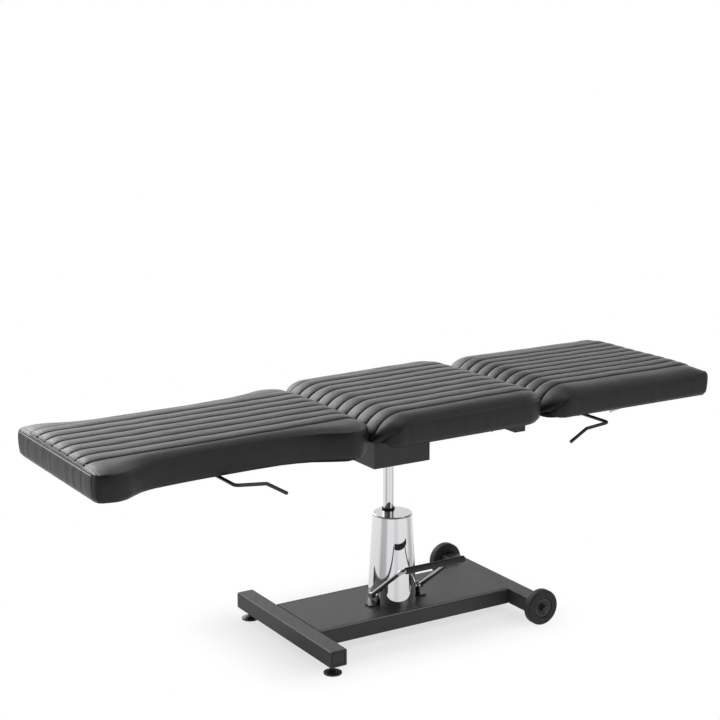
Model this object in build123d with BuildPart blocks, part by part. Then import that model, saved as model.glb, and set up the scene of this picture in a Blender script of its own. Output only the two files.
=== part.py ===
from build123d import *
from math import cos, radians, sin, sqrt
import os

os.makedirs("parts", exist_ok=True)

# A tattoo chair laid flat as a bed. Millimetres, X towards the head end, Y away from the side
# with the levers, Z up. The floor is Z 0, and X 0 and Y 0 are the middle of the bed.

# Driving dimensions
bed_length = 1880
seat_length = 546
seat_front = -177
seat_width = 570
back_width = 544
seat_underside = 590  # height of the underside of the seat and back cushions
roll_radius = 94  # the rolled cushion ends turn about the hinges
roll_gap = 1.5
pivot_drop = 15  # from the cushion's underside down to the hinge pins
rod_x = 25
running_gap = 0.05  # between a pin or shaft and its bore, on the radius
side_gap = 0.5  # between plates that turn beside each other
overrun = 1  # by which a cutter passes the face that it cuts

# Places that follow from the driving dimensions
seat_rear = seat_front + seat_length
legrest_pivot_x = seat_front + roll_radius
legrest_end = seat_front - roll_gap
foot_end = -bed_length / 2
head_end = bed_length / 2
back_front = seat_rear + roll_gap
back_pivot_x = back_front + roll_radius
pivot_z = seat_underside - pivot_drop


def side_view(y):
    """A plane at y, drawn in X and Z."""
    return Plane.XZ.offset(-y)


def end_view(x):
    """A plane at x, drawn in Y and Z."""
    return Plane.YZ.offset(x)


def top_view(z):
    """A plane at height z, drawn in X and Y."""
    return Plane.XY.offset(z)


def save(builder, name):
    """Labels a finished piece and writes its file."""
    builder.part.label = name
    export_step(builder.part, f"parts/{name}.step")


# Base bars of rectangular tube, with their middle at the height of the wheel axles
wheel_diameter = 100
wheel_radius = wheel_diameter / 2
base_y = -26  # middle of the base
bar_width = 50
bar_height = 45
bar_wall = 2.5
bar_corner = 4
front_bar_length = 508
rear_bar_length = 430
front_bar_reach = 330  # from the lift rod
rear_bar_reach = 337
front_bar_x = rod_x - front_bar_reach
rear_bar_x = rod_x + rear_bar_reach
bar_bottom = wheel_radius - bar_height / 2
bar_top = wheel_radius + bar_height / 2
bar_inner_width = bar_width - 2 * bar_wall
bar_inner_height = bar_height - 2 * bar_wall
bar_inner_corner = bar_corner - bar_wall
cap_thickness = 3
foot_inset = 29  # from the bar's end to the levelling foot
stem_diameter = 10
foot_reach = front_bar_length / 2 - foot_inset
foot_ys = [base_y - foot_reach, base_y + foot_reach]

with BuildPart() as front_bar:
    with BuildSketch(side_view(base_y)):
        with Locations((front_bar_x, wheel_radius)):
            RectangleRounded(bar_width, bar_height, bar_corner)
            RectangleRounded(bar_inner_width, bar_inner_height, bar_inner_corner, mode=Mode.SUBTRACT)
    extrude(amount=front_bar_length / 2 - cap_thickness, both=True)
    with Locations(*[(front_bar_x, y, bar_bottom) for y in foot_ys]):
        Cylinder(stem_diameter / 2 + side_gap, 2 * (bar_wall + overrun), mode=Mode.SUBTRACT)
save(front_bar, "front_bar")

with BuildPart() as rear_bar:
    with BuildSketch(side_view(base_y)):
        with Locations((rear_bar_x, wheel_radius)):
            RectangleRounded(bar_width, bar_height, bar_corner)
            RectangleRounded(bar_inner_width, bar_inner_height, bar_inner_corner, mode=Mode.SUBTRACT)
    extrude(amount=rear_bar_length / 2, both=True)
save(rear_bar, "rear_bar")

# End caps of the front bar: a flange with a shallow outline groove, and a plug in the tube
cap_plug_depth = 14
cap_groove_inset = 6
cap_groove_width = 1.6
cap_groove_depth = 1
cap_groove_corner = 3
cap_face = base_y - front_bar_length / 2

with BuildPart() as front_bar_end_caps:
    with BuildSketch(side_view(cap_face + cap_thickness)):
        with Locations((front_bar_x, wheel_radius)):
            RectangleRounded(bar_width, bar_height, bar_corner)
    extrude(amount=cap_thickness)
    with BuildSketch(side_view(cap_face + cap_thickness)):
        with Locations((front_bar_x, wheel_radius)):
            RectangleRounded(
                bar_inner_width - 2 * running_gap, bar_inner_height - 2 * running_gap, bar_inner_corner
            )
    extrude(amount=-cap_plug_depth)
    with BuildSketch(side_view(cap_face)):
        with Locations((front_bar_x, wheel_radius)):
            RectangleRounded(
                bar_width - 2 * cap_groove_inset, bar_height - 2 * cap_groove_inset, cap_groove_corner
            )
            RectangleRounded(
                bar_width - 2 * (cap_groove_inset + cap_groove_width),
                bar_height - 2 * (cap_groove_inset + cap_groove_width),
                cap_groove_corner - cap_groove_width,
                mode=Mode.SUBTRACT,
            )
    extrude(amount=-cap_groove_depth, mode=Mode.SUBTRACT)
    mirror(about=side_view(base_y))
save(front_bar_end_caps, "front_bar_end_caps")

# Plugs in the rear bar's ends, which carry the wheel axles
plug_flange = 3
plug_depth = 24
axle_diameter = 12
plug_face = base_y - rear_bar_length / 2

with BuildPart() as rear_bar_plugs:
    with BuildSketch(side_view(plug_face)):
        with Locations((rear_bar_x, wheel_radius)):
            RectangleRounded(bar_width, bar_height, bar_corner)
    extrude(amount=plug_flange)
    with BuildSketch(side_view(plug_face)):
        with Locations((rear_bar_x, wheel_radius)):
            RectangleRounded(
                bar_inner_width - 2 * running_gap, bar_inner_height - 2 * running_gap, bar_inner_corner
            )
    extrude(amount=-plug_depth)
    with BuildSketch(side_view(plug_face - plug_flange)):
        with Locations((rear_bar_x, wheel_radius)):
            Circle(axle_diameter / 2)
    extrude(amount=-(plug_flange + plug_depth), mode=Mode.SUBTRACT)
    mirror(about=side_view(base_y))
save(rear_bar_plugs, "rear_bar_plugs")

# Stub axles with a domed head outside the wheel
wheel_width = 26
wheel_side_gap = 2  # between the plug's flange and the wheel
head_gap = 0.5  # between the wheel and the axle's head
axle_head_length = 13
axle_head_radius = 11
axle_head_rounding = 5
wheel_inner_face = rear_bar_length / 2 + plug_flange + wheel_side_gap
wheel_outer_face = wheel_inner_face + wheel_width
axle_start = rear_bar_length / 2 - plug_depth
head_start = wheel_outer_face + head_gap
head_tip = wheel_outer_face + axle_head_length
axle_plane = Plane(origin=(rear_bar_x, base_y, wheel_radius), x_dir=(0, -1, 0), z_dir=(1, 0, 0))

with BuildPart() as wheel_axles:
    with BuildSketch(axle_plane):
        with BuildLine():
            Polyline(
                (axle_start, 0),
                (axle_start, axle_diameter / 2),
                (head_start, axle_diameter / 2),
                (head_start, axle_head_radius),
                (head_tip - axle_head_rounding, axle_head_radius),
            )
            CenterArc(
                (head_tip - axle_head_rounding, axle_head_radius - axle_head_rounding),
                axle_head_rounding,
                0,
                90,
            )
            Polyline(
                (head_tip, axle_head_radius - axle_head_rounding),
                (head_tip, 0),
                (axle_start, 0),
            )
        make_face()
    revolve(axis=Axis((rear_bar_x, base_y, wheel_radius), (0, -1, 0)))
    mirror(about=side_view(base_y))
save(wheel_axles, "wheel_axles")

# Wheels: a tyre with rounded shoulders round a ribbed hub
hub_radius = 29
tyre_rounding = 6
hub_recess = 1.5  # of the hub's outer face behind the tyre's
hub_web = 7
hub_rim = 4
hub_boss_radius = 12
rib_count = 5
rib_thickness = 3


def wheel_plane(side):
    """The middle plane of a wheel, seen from outside; side is -1 near and 1 far."""
    y = base_y + side * (wheel_inner_face + wheel_width / 2)
    return Plane(origin=(rear_bar_x, y, wheel_radius), x_dir=(-side, 0, 0), z_dir=(0, side, 0))


def make_wheel(side, side_name):
    """One wheel, as its tyre and its hub."""
    plane = wheel_plane(side)
    half = wheel_width / 2
    with BuildPart() as tyre:
        with BuildSketch(plane):
            Circle(wheel_radius)
            Circle(hub_radius, mode=Mode.SUBTRACT)
        extrude(amount=half, both=True)
        fillet(tyre.edges().filter_by(GeomType.CIRCLE).group_by(SortBy.RADIUS)[-1], tyre_rounding)
    save(tyre, f"{side_name}_wheel_tyre")

    with BuildPart() as hub:
        with BuildSketch(plane.offset(-half)):
            Circle(hub_radius)
        extrude(amount=wheel_width - hub_recess)
        with BuildSketch(plane.offset(-half)):
            Circle(hub_radius - hub_rim)
            Circle(hub_boss_radius, mode=Mode.SUBTRACT)
        extrude(amount=wheel_width - hub_recess - hub_web, mode=Mode.SUBTRACT)
        with BuildSketch(plane.offset(-half)):
            with PolarLocations((hub_boss_radius + hub_radius - hub_rim) / 2, rib_count):
                Rectangle(hub_radius - hub_rim - hub_boss_radius + 2 * overrun, rib_thickness)
        extrude(amount=wheel_width - hub_recess - hub_web)
        with BuildSketch(plane.offset(-half)):
            Circle(axle_diameter / 2 + running_gap)
        extrude(amount=wheel_width, mode=Mode.SUBTRACT)
    save(hub, f"{side_name}_wheel_hub")


make_wheel(-1, "near")
make_wheel(1, "far")

# Levelling feet: a pad on the floor with a stem that screws into the front bar
pad_radius = 24
pad_rim = 4
pad_height = 9
pad_collar_radius = 11
stem_length = 50
nut_flats = 17
nut_height = 8


def make_foot(y, side_name):
    """One levelling foot, as its pad and its stem."""
    with BuildPart() as pad:
        with BuildSketch(side_view(y)):
            with BuildLine():
                Polyline(
                    (front_bar_x, 0),
                    (front_bar_x + pad_radius, 0),
                    (front_bar_x + pad_radius, pad_rim),
                    (front_bar_x + pad_collar_radius, pad_height),
                    (front_bar_x, pad_height),
                    close=True,
                )
            make_face()
        revolve(axis=Axis((front_bar_x, y, 0), (0, 0, 1)))
    save(pad, f"{side_name}_foot_pad")

    with BuildPart() as stem:
        with BuildSketch(top_view(pad_height)):
            with Locations((front_bar_x, y)):
                Circle(stem_diameter / 2)
        extrude(amount=stem_length)
    save(stem, f"{side_name}_foot_stem")


make_foot(foot_ys[0], "near")
make_foot(foot_ys[1], "far")


# Nuts on the feet's stems: one that locks the stem below the bar, and one welded inside the bar
with BuildPart() as foot_nuts:
    for nut_bottom in (bar_bottom - nut_height, bar_bottom + bar_wall):
        with BuildSketch(top_view(nut_bottom)):
            with Locations(*[(front_bar_x, y) for y in foot_ys]):
                RegularPolygon(nut_flats / 2, 6, major_radius=False)
                Circle(stem_diameter / 2 + running_gap, mode=Mode.SUBTRACT)
        extrude(amount=nut_height)
save(foot_nuts, "foot_nuts")

# Deck: a plate on two folded side channels between the bars
deck_width = 232
deck_thickness = 4
channel_thickness = 3
channel_flange = 20
channel_bend = 4
deck_start = front_bar_x + bar_width / 2
deck_end = rear_bar_x - bar_width / 2
channel_top = bar_top - deck_thickness
channel_face = base_y - deck_width / 2

with BuildPart() as deck_side_channels:
    with BuildSketch(end_view(deck_start)):
        with BuildLine():
            bend_y = channel_face + channel_bend
            bend_z = channel_top - channel_bend
            flange_end = channel_face + channel_flange
            CenterArc((bend_y, bend_z), channel_bend, 90, 90)
            Polyline(
                (bend_y, channel_top),
                (flange_end, channel_top),
                (flange_end, channel_top - channel_thickness),
                (bend_y, channel_top - channel_thickness),
            )
            CenterArc((bend_y, bend_z), channel_bend - channel_thickness, 90, 90)
            Polyline(
                (channel_face + channel_thickness, bend_z),
                (channel_face + channel_thickness, bar_bottom),
                (channel_face, bar_bottom),
                (channel_face, bend_z),
            )
        make_face()
    extrude(amount=deck_end - deck_start)
    mirror(about=side_view(base_y))
save(deck_side_channels, "deck_side_channels")

# Pump: a flange bolted to the deck, the cylinder round the lift rod, and the pump chamber
cover_x = 17  # the cover's axis stands off the lift rod
cover_y = -33
flange_radius = 62
flange_thickness = 8
bolt_diameter = 8
bolt_head_flats = 13
bolt_head_height = 5
bolt_spacing_x = 86
bolt_spacing_y = 50
rod_radius = 15
bore_radius = 16
cylinder_radius = 18.5
cylinder_top = 306
cylinder_floor = 10  # thickness of the closed bottom end
cylinder_foot_radius = 24
cylinder_foot_height = 12
chamber_radius = 10
plunger_radius = 5
chamber_floor = 6
chamber_depth = 26  # below the deck's top face
chamber_height = 24  # above it
pedal_pivot_y = -53
pedal_pivot_z = 101.5
fork_reach = 24  # from the pedal shaft to the plunger
chamber_x = 19
chamber_y = pedal_pivot_y + fork_reach
flange_top = bar_top + flange_thickness
cylinder_bottom = flange_top + cylinder_floor

with BuildPart() as deck_plate:
    with BuildSketch(top_view(bar_top - deck_thickness)):
        with Locations(((deck_start + deck_end) / 2, base_y)):
            Rectangle(deck_end - deck_start, deck_width)
        with Locations((chamber_x, chamber_y)):
            Circle(chamber_radius + side_gap, mode=Mode.SUBTRACT)
        with Locations((cover_x, cover_y)):
            with GridLocations(bolt_spacing_x, bolt_spacing_y, 2, 2):
                Circle(bolt_diameter / 2 + side_gap, mode=Mode.SUBTRACT)
    extrude(amount=deck_thickness)
save(deck_plate, "deck_plate")

with BuildPart() as pump_body:
    with BuildSketch(top_view(bar_top)):
        with Locations((cover_x, cover_y)):
            Circle(flange_radius)
            with GridLocations(bolt_spacing_x, bolt_spacing_y, 2, 2):
                Circle(bolt_diameter / 2 + side_gap, mode=Mode.SUBTRACT)
    extrude(amount=flange_thickness)
    with BuildSketch(top_view(flange_top)):
        with Locations((rod_x, 0)):
            Circle(cylinder_foot_radius)
    extrude(amount=cylinder_foot_height)
    with BuildSketch(top_view(flange_top)):
        with Locations((rod_x, 0)):
            Circle(cylinder_radius)
    extrude(amount=cylinder_top - flange_top)
    with BuildSketch(top_view(bar_top - chamber_depth)):
        with Locations((chamber_x, chamber_y)):
            Circle(chamber_radius)
    extrude(amount=chamber_depth + chamber_height)
    with BuildSketch(top_view(cylinder_bottom)):
        with Locations((rod_x, 0)):
            Circle(bore_radius)
    extrude(amount=cylinder_top - cylinder_bottom, mode=Mode.SUBTRACT)
    with BuildSketch(top_view(bar_top - chamber_depth + chamber_floor)):
        with Locations((chamber_x, chamber_y)):
            Circle(plunger_radius + running_gap)
    extrude(amount=chamber_depth + chamber_height, mode=Mode.SUBTRACT)
save(pump_body, "pump_body")

with BuildPart() as pump_bolts:
    with BuildSketch(top_view(flange_top)):
        with Locations((cover_x, cover_y)):
            with GridLocations(bolt_spacing_x, bolt_spacing_y, 2, 2):
                RegularPolygon(bolt_head_flats / 2, 6, major_radius=False)
    extrude(amount=bolt_head_height)
    with BuildSketch(top_view(bar_top - deck_thickness)):
        with Locations((cover_x, cover_y)):
            with GridLocations(bolt_spacing_x, bolt_spacing_y, 2, 2):
                RegularPolygon(bolt_head_flats / 2, 6, major_radius=False)
    extrude(amount=-bolt_head_height)
    with BuildSketch(top_view(bar_top - deck_thickness)):
        with Locations((cover_x, cover_y)):
            with GridLocations(bolt_spacing_x, bolt_spacing_y, 2, 2):
                Circle(bolt_diameter / 2)
    extrude(amount=deck_thickness + flange_thickness)
save(pump_bolts, "pump_bolts")

# Gland that guides the rod on top of the cylinder
gland_height = 9

with BuildPart() as pump_gland:
    with BuildSketch(top_view(cylinder_top)):
        with Locations((rod_x, 0)):
            Circle(cylinder_radius)
            Circle(rod_radius + running_gap, mode=Mode.SUBTRACT)
    extrude(amount=gland_height)
save(pump_gland, "pump_gland")

# Chrome cover: a thin cone with a flat top, off the rod's axis
cover_bottom_radius = 68
cover_top_radius = 54.5
cover_height = 248.5
cover_wall = 1.5
cover_edge = 2
shaft_diameter = 12
shaft_hole_gap = 2
cover_top = bar_top + cover_height

with BuildPart() as pump_cover:
    with BuildSketch(side_view(cover_y)):
        with BuildLine():
            Polyline(
                (cover_x, bar_top),
                (cover_x + cover_bottom_radius, bar_top),
                (cover_x + cover_top_radius, cover_top),
                (cover_x, cover_top),
                close=True,
            )
        make_face()
    revolve(axis=Axis((cover_x, cover_y, 0), (0, 0, 1)))
    fillet(pump_cover.edges().filter_by(GeomType.CIRCLE).sort_by(Axis.Z)[-1], cover_edge)
    offset(amount=-cover_wall, openings=pump_cover.faces().sort_by(Axis.Z)[0])
    with BuildSketch(top_view(cover_top)):
        with Locations((rod_x, 0)):
            Circle(rod_radius + side_gap)
    extrude(amount=-2 * cover_wall, mode=Mode.SUBTRACT)
    with BuildSketch(end_view(cover_x)):
        with Locations((pedal_pivot_y, pedal_pivot_z)):
            Circle(shaft_diameter / 2 + shaft_hole_gap)
    extrude(amount=cover_bottom_radius, both=True, mode=Mode.SUBTRACT)
save(pump_cover, "pump_cover")

# Dark seal ring on the cover, round the rod
seal_radius = 17.9
seal_height = 4

with BuildPart() as rod_seal:
    with BuildSketch(top_view(cover_top)):
        with Locations((rod_x, 0)):
            Circle(seal_radius)
            Circle(rod_radius + running_gap, mode=Mode.SUBTRACT)
    extrude(amount=seal_height)
save(rod_seal, "rod_seal")

# Pedal: a shaft in two brackets beside the cover, two arms, a foot bar and its sleeve
pedal_half_span = 80  # from the cover's axis to each arm
bracket_gap = 1  # between the cover's foot and a bracket
bracket_thickness = 4
bracket_width = 24
bracket_foot_length = 24
bracket_foot_thickness = 4
pedal_rod_radius = 6
pedal_bend = 14
foot_bar_y = -200
foot_bar_z = 213
foot_bar_overhang = 40  # past the right arm
sleeve_radius = 9
sleeve_cap = 4
fork_width = 21
fork_slot = 12
fork_thickness = 8
fork_tip = 7  # past the plunger's middle
plunger_head_radius = 10
plunger_head_height = 5
plunger_head_gap = 1
arm_left_x = cover_x - pedal_half_span
arm_right_x = cover_x + pedal_half_span
foot_bar_end = arm_right_x + foot_bar_overhang
bracket_face = cover_bottom_radius + bracket_gap

with BuildPart() as pedal_brackets:
    with BuildSketch(end_view(cover_x + bracket_face)):
        with Locations((pedal_pivot_y, pedal_pivot_z)):
            Circle(bracket_width / 2)
        with Locations((pedal_pivot_y, bar_top)):
            Rectangle(bracket_width, pedal_pivot_z - bar_top, align=(Align.CENTER, Align.MIN))
        with Locations((pedal_pivot_y, pedal_pivot_z)):
            Circle(shaft_diameter / 2 + running_gap, mode=Mode.SUBTRACT)
    extrude(amount=bracket_thickness)
    with BuildSketch(top_view(bar_top)):
        with Locations((cover_x + bracket_face, pedal_pivot_y)):
            Rectangle(bracket_foot_length, bracket_width, align=(Align.MIN, Align.CENTER))
    extrude(amount=bracket_foot_thickness)
    mirror(about=end_view(cover_x))
save(pedal_brackets, "pedal_brackets")

with BuildPart() as pedal_shaft:
    with BuildSketch(end_view(arm_left_x)):
        with Locations((pedal_pivot_y, pedal_pivot_z)):
            Circle(shaft_diameter / 2)
    extrude(amount=2 * pedal_half_span)
    with BuildSketch(top_view(pedal_pivot_z - fork_thickness / 2)):
        with Locations((chamber_x, pedal_pivot_y)):
            Rectangle(fork_width, fork_reach + fork_tip, align=(Align.CENTER, Align.MIN))
        with Locations((chamber_x, chamber_y - fork_slot / 2)):
            Rectangle(
                fork_slot, fork_slot + fork_tip, align=(Align.CENTER, Align.MIN), mode=Mode.SUBTRACT
            )
    extrude(amount=fork_thickness)
save(pedal_shaft, "pedal_shaft")

with BuildPart() as pedal_frame:
    with BuildLine():
        FilletPolyline(
            (arm_left_x, pedal_pivot_y, pedal_pivot_z),
            (arm_left_x, foot_bar_y, foot_bar_z),
            (foot_bar_end, foot_bar_y, foot_bar_z),
            radius=pedal_bend,
        )
    arm_direction = (0, foot_bar_y - pedal_pivot_y, foot_bar_z - pedal_pivot_z)
    with BuildSketch(Plane(origin=(arm_left_x, pedal_pivot_y, pedal_pivot_z), z_dir=arm_direction)):
        Circle(pedal_rod_radius)
    sweep()
    with BuildSketch(Plane(origin=(arm_right_x, pedal_pivot_y, pedal_pivot_z), z_dir=arm_direction)):
        Circle(pedal_rod_radius)
    extrude(amount=Vector(arm_direction).length)
    with BuildSketch(end_view(arm_left_x)):
        with Locations((pedal_pivot_y, pedal_pivot_z)):
            Circle(pedal_rod_radius + shaft_hole_gap)
    extrude(amount=pedal_rod_radius, both=True)
    with BuildSketch(end_view(arm_right_x)):
        with Locations((pedal_pivot_y, pedal_pivot_z)):
            Circle(pedal_rod_radius + shaft_hole_gap)
    extrude(amount=pedal_rod_radius, both=True)
    with BuildSketch(end_view(arm_left_x)):
        with Locations((pedal_pivot_y, pedal_pivot_z)):
            Circle(shaft_diameter / 2)
    extrude(amount=2 * pedal_half_span, mode=Mode.SUBTRACT)
save(pedal_frame, "pedal_frame")

# Rubber sleeve on the foot bar
sleeve_start = arm_left_x + pedal_bend

with BuildPart() as pedal_sleeve:
    with BuildSketch(end_view(sleeve_start)):
        with Locations((foot_bar_y, foot_bar_z)):
            Circle(sleeve_radius)
    extrude(amount=foot_bar_end + sleeve_cap - sleeve_start)
    fillet(pedal_sleeve.edges().filter_by(GeomType.CIRCLE), sleeve_cap / 2)
    with BuildSketch(end_view(sleeve_start)):
        with Locations((foot_bar_y, foot_bar_z)):
            Circle(pedal_rod_radius)
    extrude(amount=foot_bar_end - sleeve_start, mode=Mode.SUBTRACT)
    with BuildSketch(Plane(origin=(arm_right_x, pedal_pivot_y, pedal_pivot_z), z_dir=arm_direction)):
        Circle(pedal_rod_radius)
    extrude(amount=Vector(arm_direction).length, mode=Mode.SUBTRACT)
save(pedal_sleeve, "pedal_sleeve")

# Plunger, which the fork lifts by its head
plunger_bottom = bar_top - chamber_depth + chamber_floor + chamber_floor
plunger_head_bottom = pedal_pivot_z + fork_thickness / 2 + plunger_head_gap

with BuildPart() as pump_plunger:
    with BuildSketch(top_view(plunger_bottom)):
        with Locations((chamber_x, chamber_y)):
            Circle(plunger_radius)
    extrude(amount=plunger_head_bottom - plunger_bottom)
    with BuildSketch(top_view(plunger_head_bottom)):
        with Locations((chamber_x, chamber_y)):
            Circle(plunger_head_radius)
    extrude(amount=plunger_head_height)
save(pump_plunger, "pump_plunger")

# Piston in the cylinder, with its seal, under the foot of the lift rod
piston_bottom = 215
piston_height = 25
piston_groove = 3  # depth and half height of the seal's groove
spigot_radius = 7
spigot_height = 10

with BuildPart() as piston:
    with BuildSketch(top_view(piston_bottom)):
        with Locations((rod_x, 0)):
            Circle(bore_radius - side_gap)
    extrude(amount=piston_height)
    with BuildSketch(top_view(piston_bottom + piston_height / 2)):
        with Locations((rod_x, 0)):
            Circle(bore_radius)
            Circle(bore_radius - piston_groove, mode=Mode.SUBTRACT)
    extrude(amount=piston_groove, both=True, mode=Mode.SUBTRACT)
    with BuildSketch(top_view(piston_bottom + piston_height)):
        with Locations((rod_x, 0)):
            Circle(spigot_radius)
    extrude(amount=spigot_height)
save(piston, "piston")

with BuildPart() as piston_seal:
    with BuildSketch(top_view(piston_bottom + piston_height / 2)):
        with Locations((rod_x, 0)):
            Circle(bore_radius - running_gap)
            Circle(bore_radius - piston_groove, mode=Mode.SUBTRACT)
    extrude(amount=piston_groove, both=True)
save(piston_seal, "piston_seal")

# Steel under the seat: a box that clamps the lift rod, rails on it and a tube behind
board_thickness = 8
rail_size = 38
rail_wall = 2
rail_corner = 3
box_front = -84
box_length = 177.5
box_width = 200
box_height = 70
box_wall = 3
rear_tube_half = 200
rear_tube_reach = 49  # from the tube's middle to the seat's rear end
board_bottom = seat_underside - board_thickness
rail_bottom = board_bottom - rail_size
box_bottom = rail_bottom - box_height
rail_y = box_width / 2 - rail_size / 2
rear_tube_x = seat_rear - rear_tube_reach
rear_tube_front = rear_tube_x - rail_size / 2
rear_tube_face = rear_tube_x + rail_size / 2
box_rear = box_front + box_length
box_middle = (box_front + box_rear) / 2

with BuildPart() as seat_box:
    with BuildSketch(top_view(box_bottom)):
        with Locations((box_middle, 0)):
            Rectangle(box_length, box_width)
    extrude(amount=box_height)
    with BuildSketch(top_view(box_bottom + box_wall)):
        with Locations((box_middle, 0)):
            Rectangle(box_length - 2 * box_wall, box_width - 2 * box_wall)
    extrude(amount=box_height, mode=Mode.SUBTRACT)
    with BuildSketch(top_view(box_bottom)):
        with Locations((rod_x, 0)):
            Circle(rod_radius)
    extrude(amount=box_wall, mode=Mode.SUBTRACT)
save(seat_box, "seat_box")

# Socket in the box, with ribs to its walls, that the rod's upper end sits in
socket_radius = 25
socket_height = 62
rod_cover_height = 5  # of the socket over the rod's end
socket_rib = 6
socket_rib_height = 44

with BuildPart() as rod_socket:
    with BuildSketch(top_view(box_bottom + box_wall)):
        with Locations((rod_x, 0)):
            Circle(socket_radius)
    extrude(amount=socket_height)
    with BuildSketch(top_view(box_bottom + box_wall)):
        with Locations((box_middle, 0)):
            Rectangle(box_length - 2 * box_wall, socket_rib)
        with Locations((rod_x, 0)):
            Rectangle(socket_rib, box_width - 2 * box_wall)
    extrude(amount=socket_rib_height)
    with BuildSketch(top_view(box_bottom + box_wall)):
        with Locations((rod_x, 0)):
            Circle(rod_radius)
    extrude(amount=socket_height - rod_cover_height, mode=Mode.SUBTRACT)
save(rod_socket, "rod_socket")

with BuildPart() as lift_rod:
    with BuildSketch(top_view(piston_bottom + piston_height)):
        with Locations((rod_x, 0)):
            Circle(rod_radius)
    extrude(amount=box_bottom + box_wall + socket_height - rod_cover_height - piston_bottom - piston_height)
    with BuildSketch(top_view(piston_bottom + piston_height)):
        with Locations((rod_x, 0)):
            Circle(spigot_radius + running_gap)
    extrude(amount=spigot_height + overrun, mode=Mode.SUBTRACT)
save(lift_rod, "lift_rod")


def tube_profile(plane, places, size, wall, corner):
    """The section of a square tube on a plane, at each of the places."""
    with BuildSketch(plane) as profile:
        with Locations(*places):
            RectangleRounded(size, size, corner)
            RectangleRounded(size - 2 * wall, size - 2 * wall, corner - wall, mode=Mode.SUBTRACT)
    return profile.sketch


with BuildPart() as seat_rails:
    rail_places = [(-rail_y, rail_bottom + rail_size / 2), (rail_y, rail_bottom + rail_size / 2)]
    extrude(
        tube_profile(end_view(box_front), rail_places, rail_size, rail_wall, rail_corner),
        amount=rear_tube_front - box_front,
    )
save(seat_rails, "seat_rails")

with BuildPart() as seat_rear_tube:
    rear_tube_place = (rear_tube_x, rail_bottom + rail_size / 2)
    extrude(
        tube_profile(side_view(0), [rear_tube_place], rail_size, rail_wall, rail_corner),
        amount=rear_tube_half,
        both=True,
    )
save(seat_rear_tube, "seat_rear_tube")

# End caps of the rear tube
tube_cap_thickness = 2
tube_cap_depth = 10

with BuildPart() as seat_rear_tube_caps:
    with BuildSketch(side_view(-rear_tube_half)):
        with Locations((rear_tube_x, rail_bottom + rail_size / 2)):
            RectangleRounded(rail_size, rail_size, rail_corner)
    extrude(amount=tube_cap_thickness)
    with BuildSketch(side_view(-rear_tube_half)):
        with Locations((rear_tube_x, rail_bottom + rail_size / 2)):
            RectangleRounded(
                rail_size - 2 * (rail_wall + running_gap),
                rail_size - 2 * (rail_wall + running_gap),
                rail_corner - rail_wall,
            )
    extrude(amount=-tube_cap_depth)
    mirror(about=Plane.XZ)
save(seat_rear_tube_caps, "seat_rear_tube_caps")

# Hinge of the legrest: flat bars out from the rails with an ear under each, arms and pins
hinge_eye_radius = 14
hinge_pin_radius = 6
pin_head_radius = 9
pin_head_height = 3
arm_half_span = 207  # inner faces of the legrest's hinge arms
arm_thickness = 6
outrigger_thickness = 10
outrigger_width = 40
outrigger_gap = 3  # from the hinge eye to the flat bar
ear_drop = 10  # of the ear under the flat bar
ear_inner = arm_half_span + arm_thickness + side_gap
ear_outer = ear_inner + arm_thickness
outrigger_front = legrest_pivot_x + hinge_eye_radius + outrigger_gap
outrigger_rear = outrigger_front + outrigger_width
outrigger_bottom = board_bottom - outrigger_thickness

with BuildPart() as seat_outriggers:
    with BuildSketch(top_view(outrigger_bottom)):
        with Locations((outrigger_front, -ear_outer)):
            Rectangle(outrigger_width, ear_outer - box_width / 2, align=(Align.MIN, Align.MIN))
    extrude(amount=outrigger_thickness)
    with BuildSketch(side_view(-ear_inner)):
        with Locations((legrest_pivot_x, pivot_z)):
            Circle(hinge_eye_radius)
        with Locations((legrest_pivot_x, outrigger_bottom)):
            Rectangle(outrigger_rear - legrest_pivot_x, ear_drop, align=(Align.MIN, Align.MAX))
        with Locations((legrest_pivot_x, pivot_z)):
            Circle(hinge_pin_radius, mode=Mode.SUBTRACT)
    extrude(amount=arm_thickness)
    mirror(about=Plane.XZ)
save(seat_outriggers, "seat_outriggers")

with BuildPart() as legrest_hinge_pins:
    with BuildSketch(side_view(-arm_half_span + side_gap)):
        with Locations((legrest_pivot_x, pivot_z)):
            Circle(hinge_pin_radius)
    extrude(amount=ear_outer - arm_half_span + side_gap)
    with BuildSketch(side_view(-ear_outer)):
        with Locations((legrest_pivot_x, pivot_z)):
            Circle(pin_head_radius)
    extrude(amount=pin_head_height)
    with BuildSketch(side_view(-arm_half_span + side_gap + pin_head_height)):
        with Locations((legrest_pivot_x, pivot_z)):
            Circle(pin_head_radius)
    extrude(amount=pin_head_height)
    mirror(about=Plane.XZ)
save(legrest_hinge_pins, "legrest_hinge_pins")

# Legrest frame of small square tube: two rails and two cross tubes
legrest_drop = 25  # from the seat cushion's underside to the legrest cushion's
frame_tube = 25
frame_wall = 1.5
frame_corner = 2.5
frame_rail_y = 90
legrest_tube_reach = 142  # from the hinge pin to the first cross tube's near face
legrest_frame_end = 60  # from the foot end of the cushion to the last cross tube
legrest_end_half = 110  # half length of the last cross tube
legrest_underside = seat_underside - legrest_drop
legrest_board_bottom = legrest_underside - board_thickness
legrest_tube_z = legrest_board_bottom - frame_tube / 2
legrest_tube_face = legrest_pivot_x - legrest_tube_reach
legrest_tube_far = legrest_tube_face - frame_tube
legrest_rail_end = foot_end + legrest_frame_end + frame_tube

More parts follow.
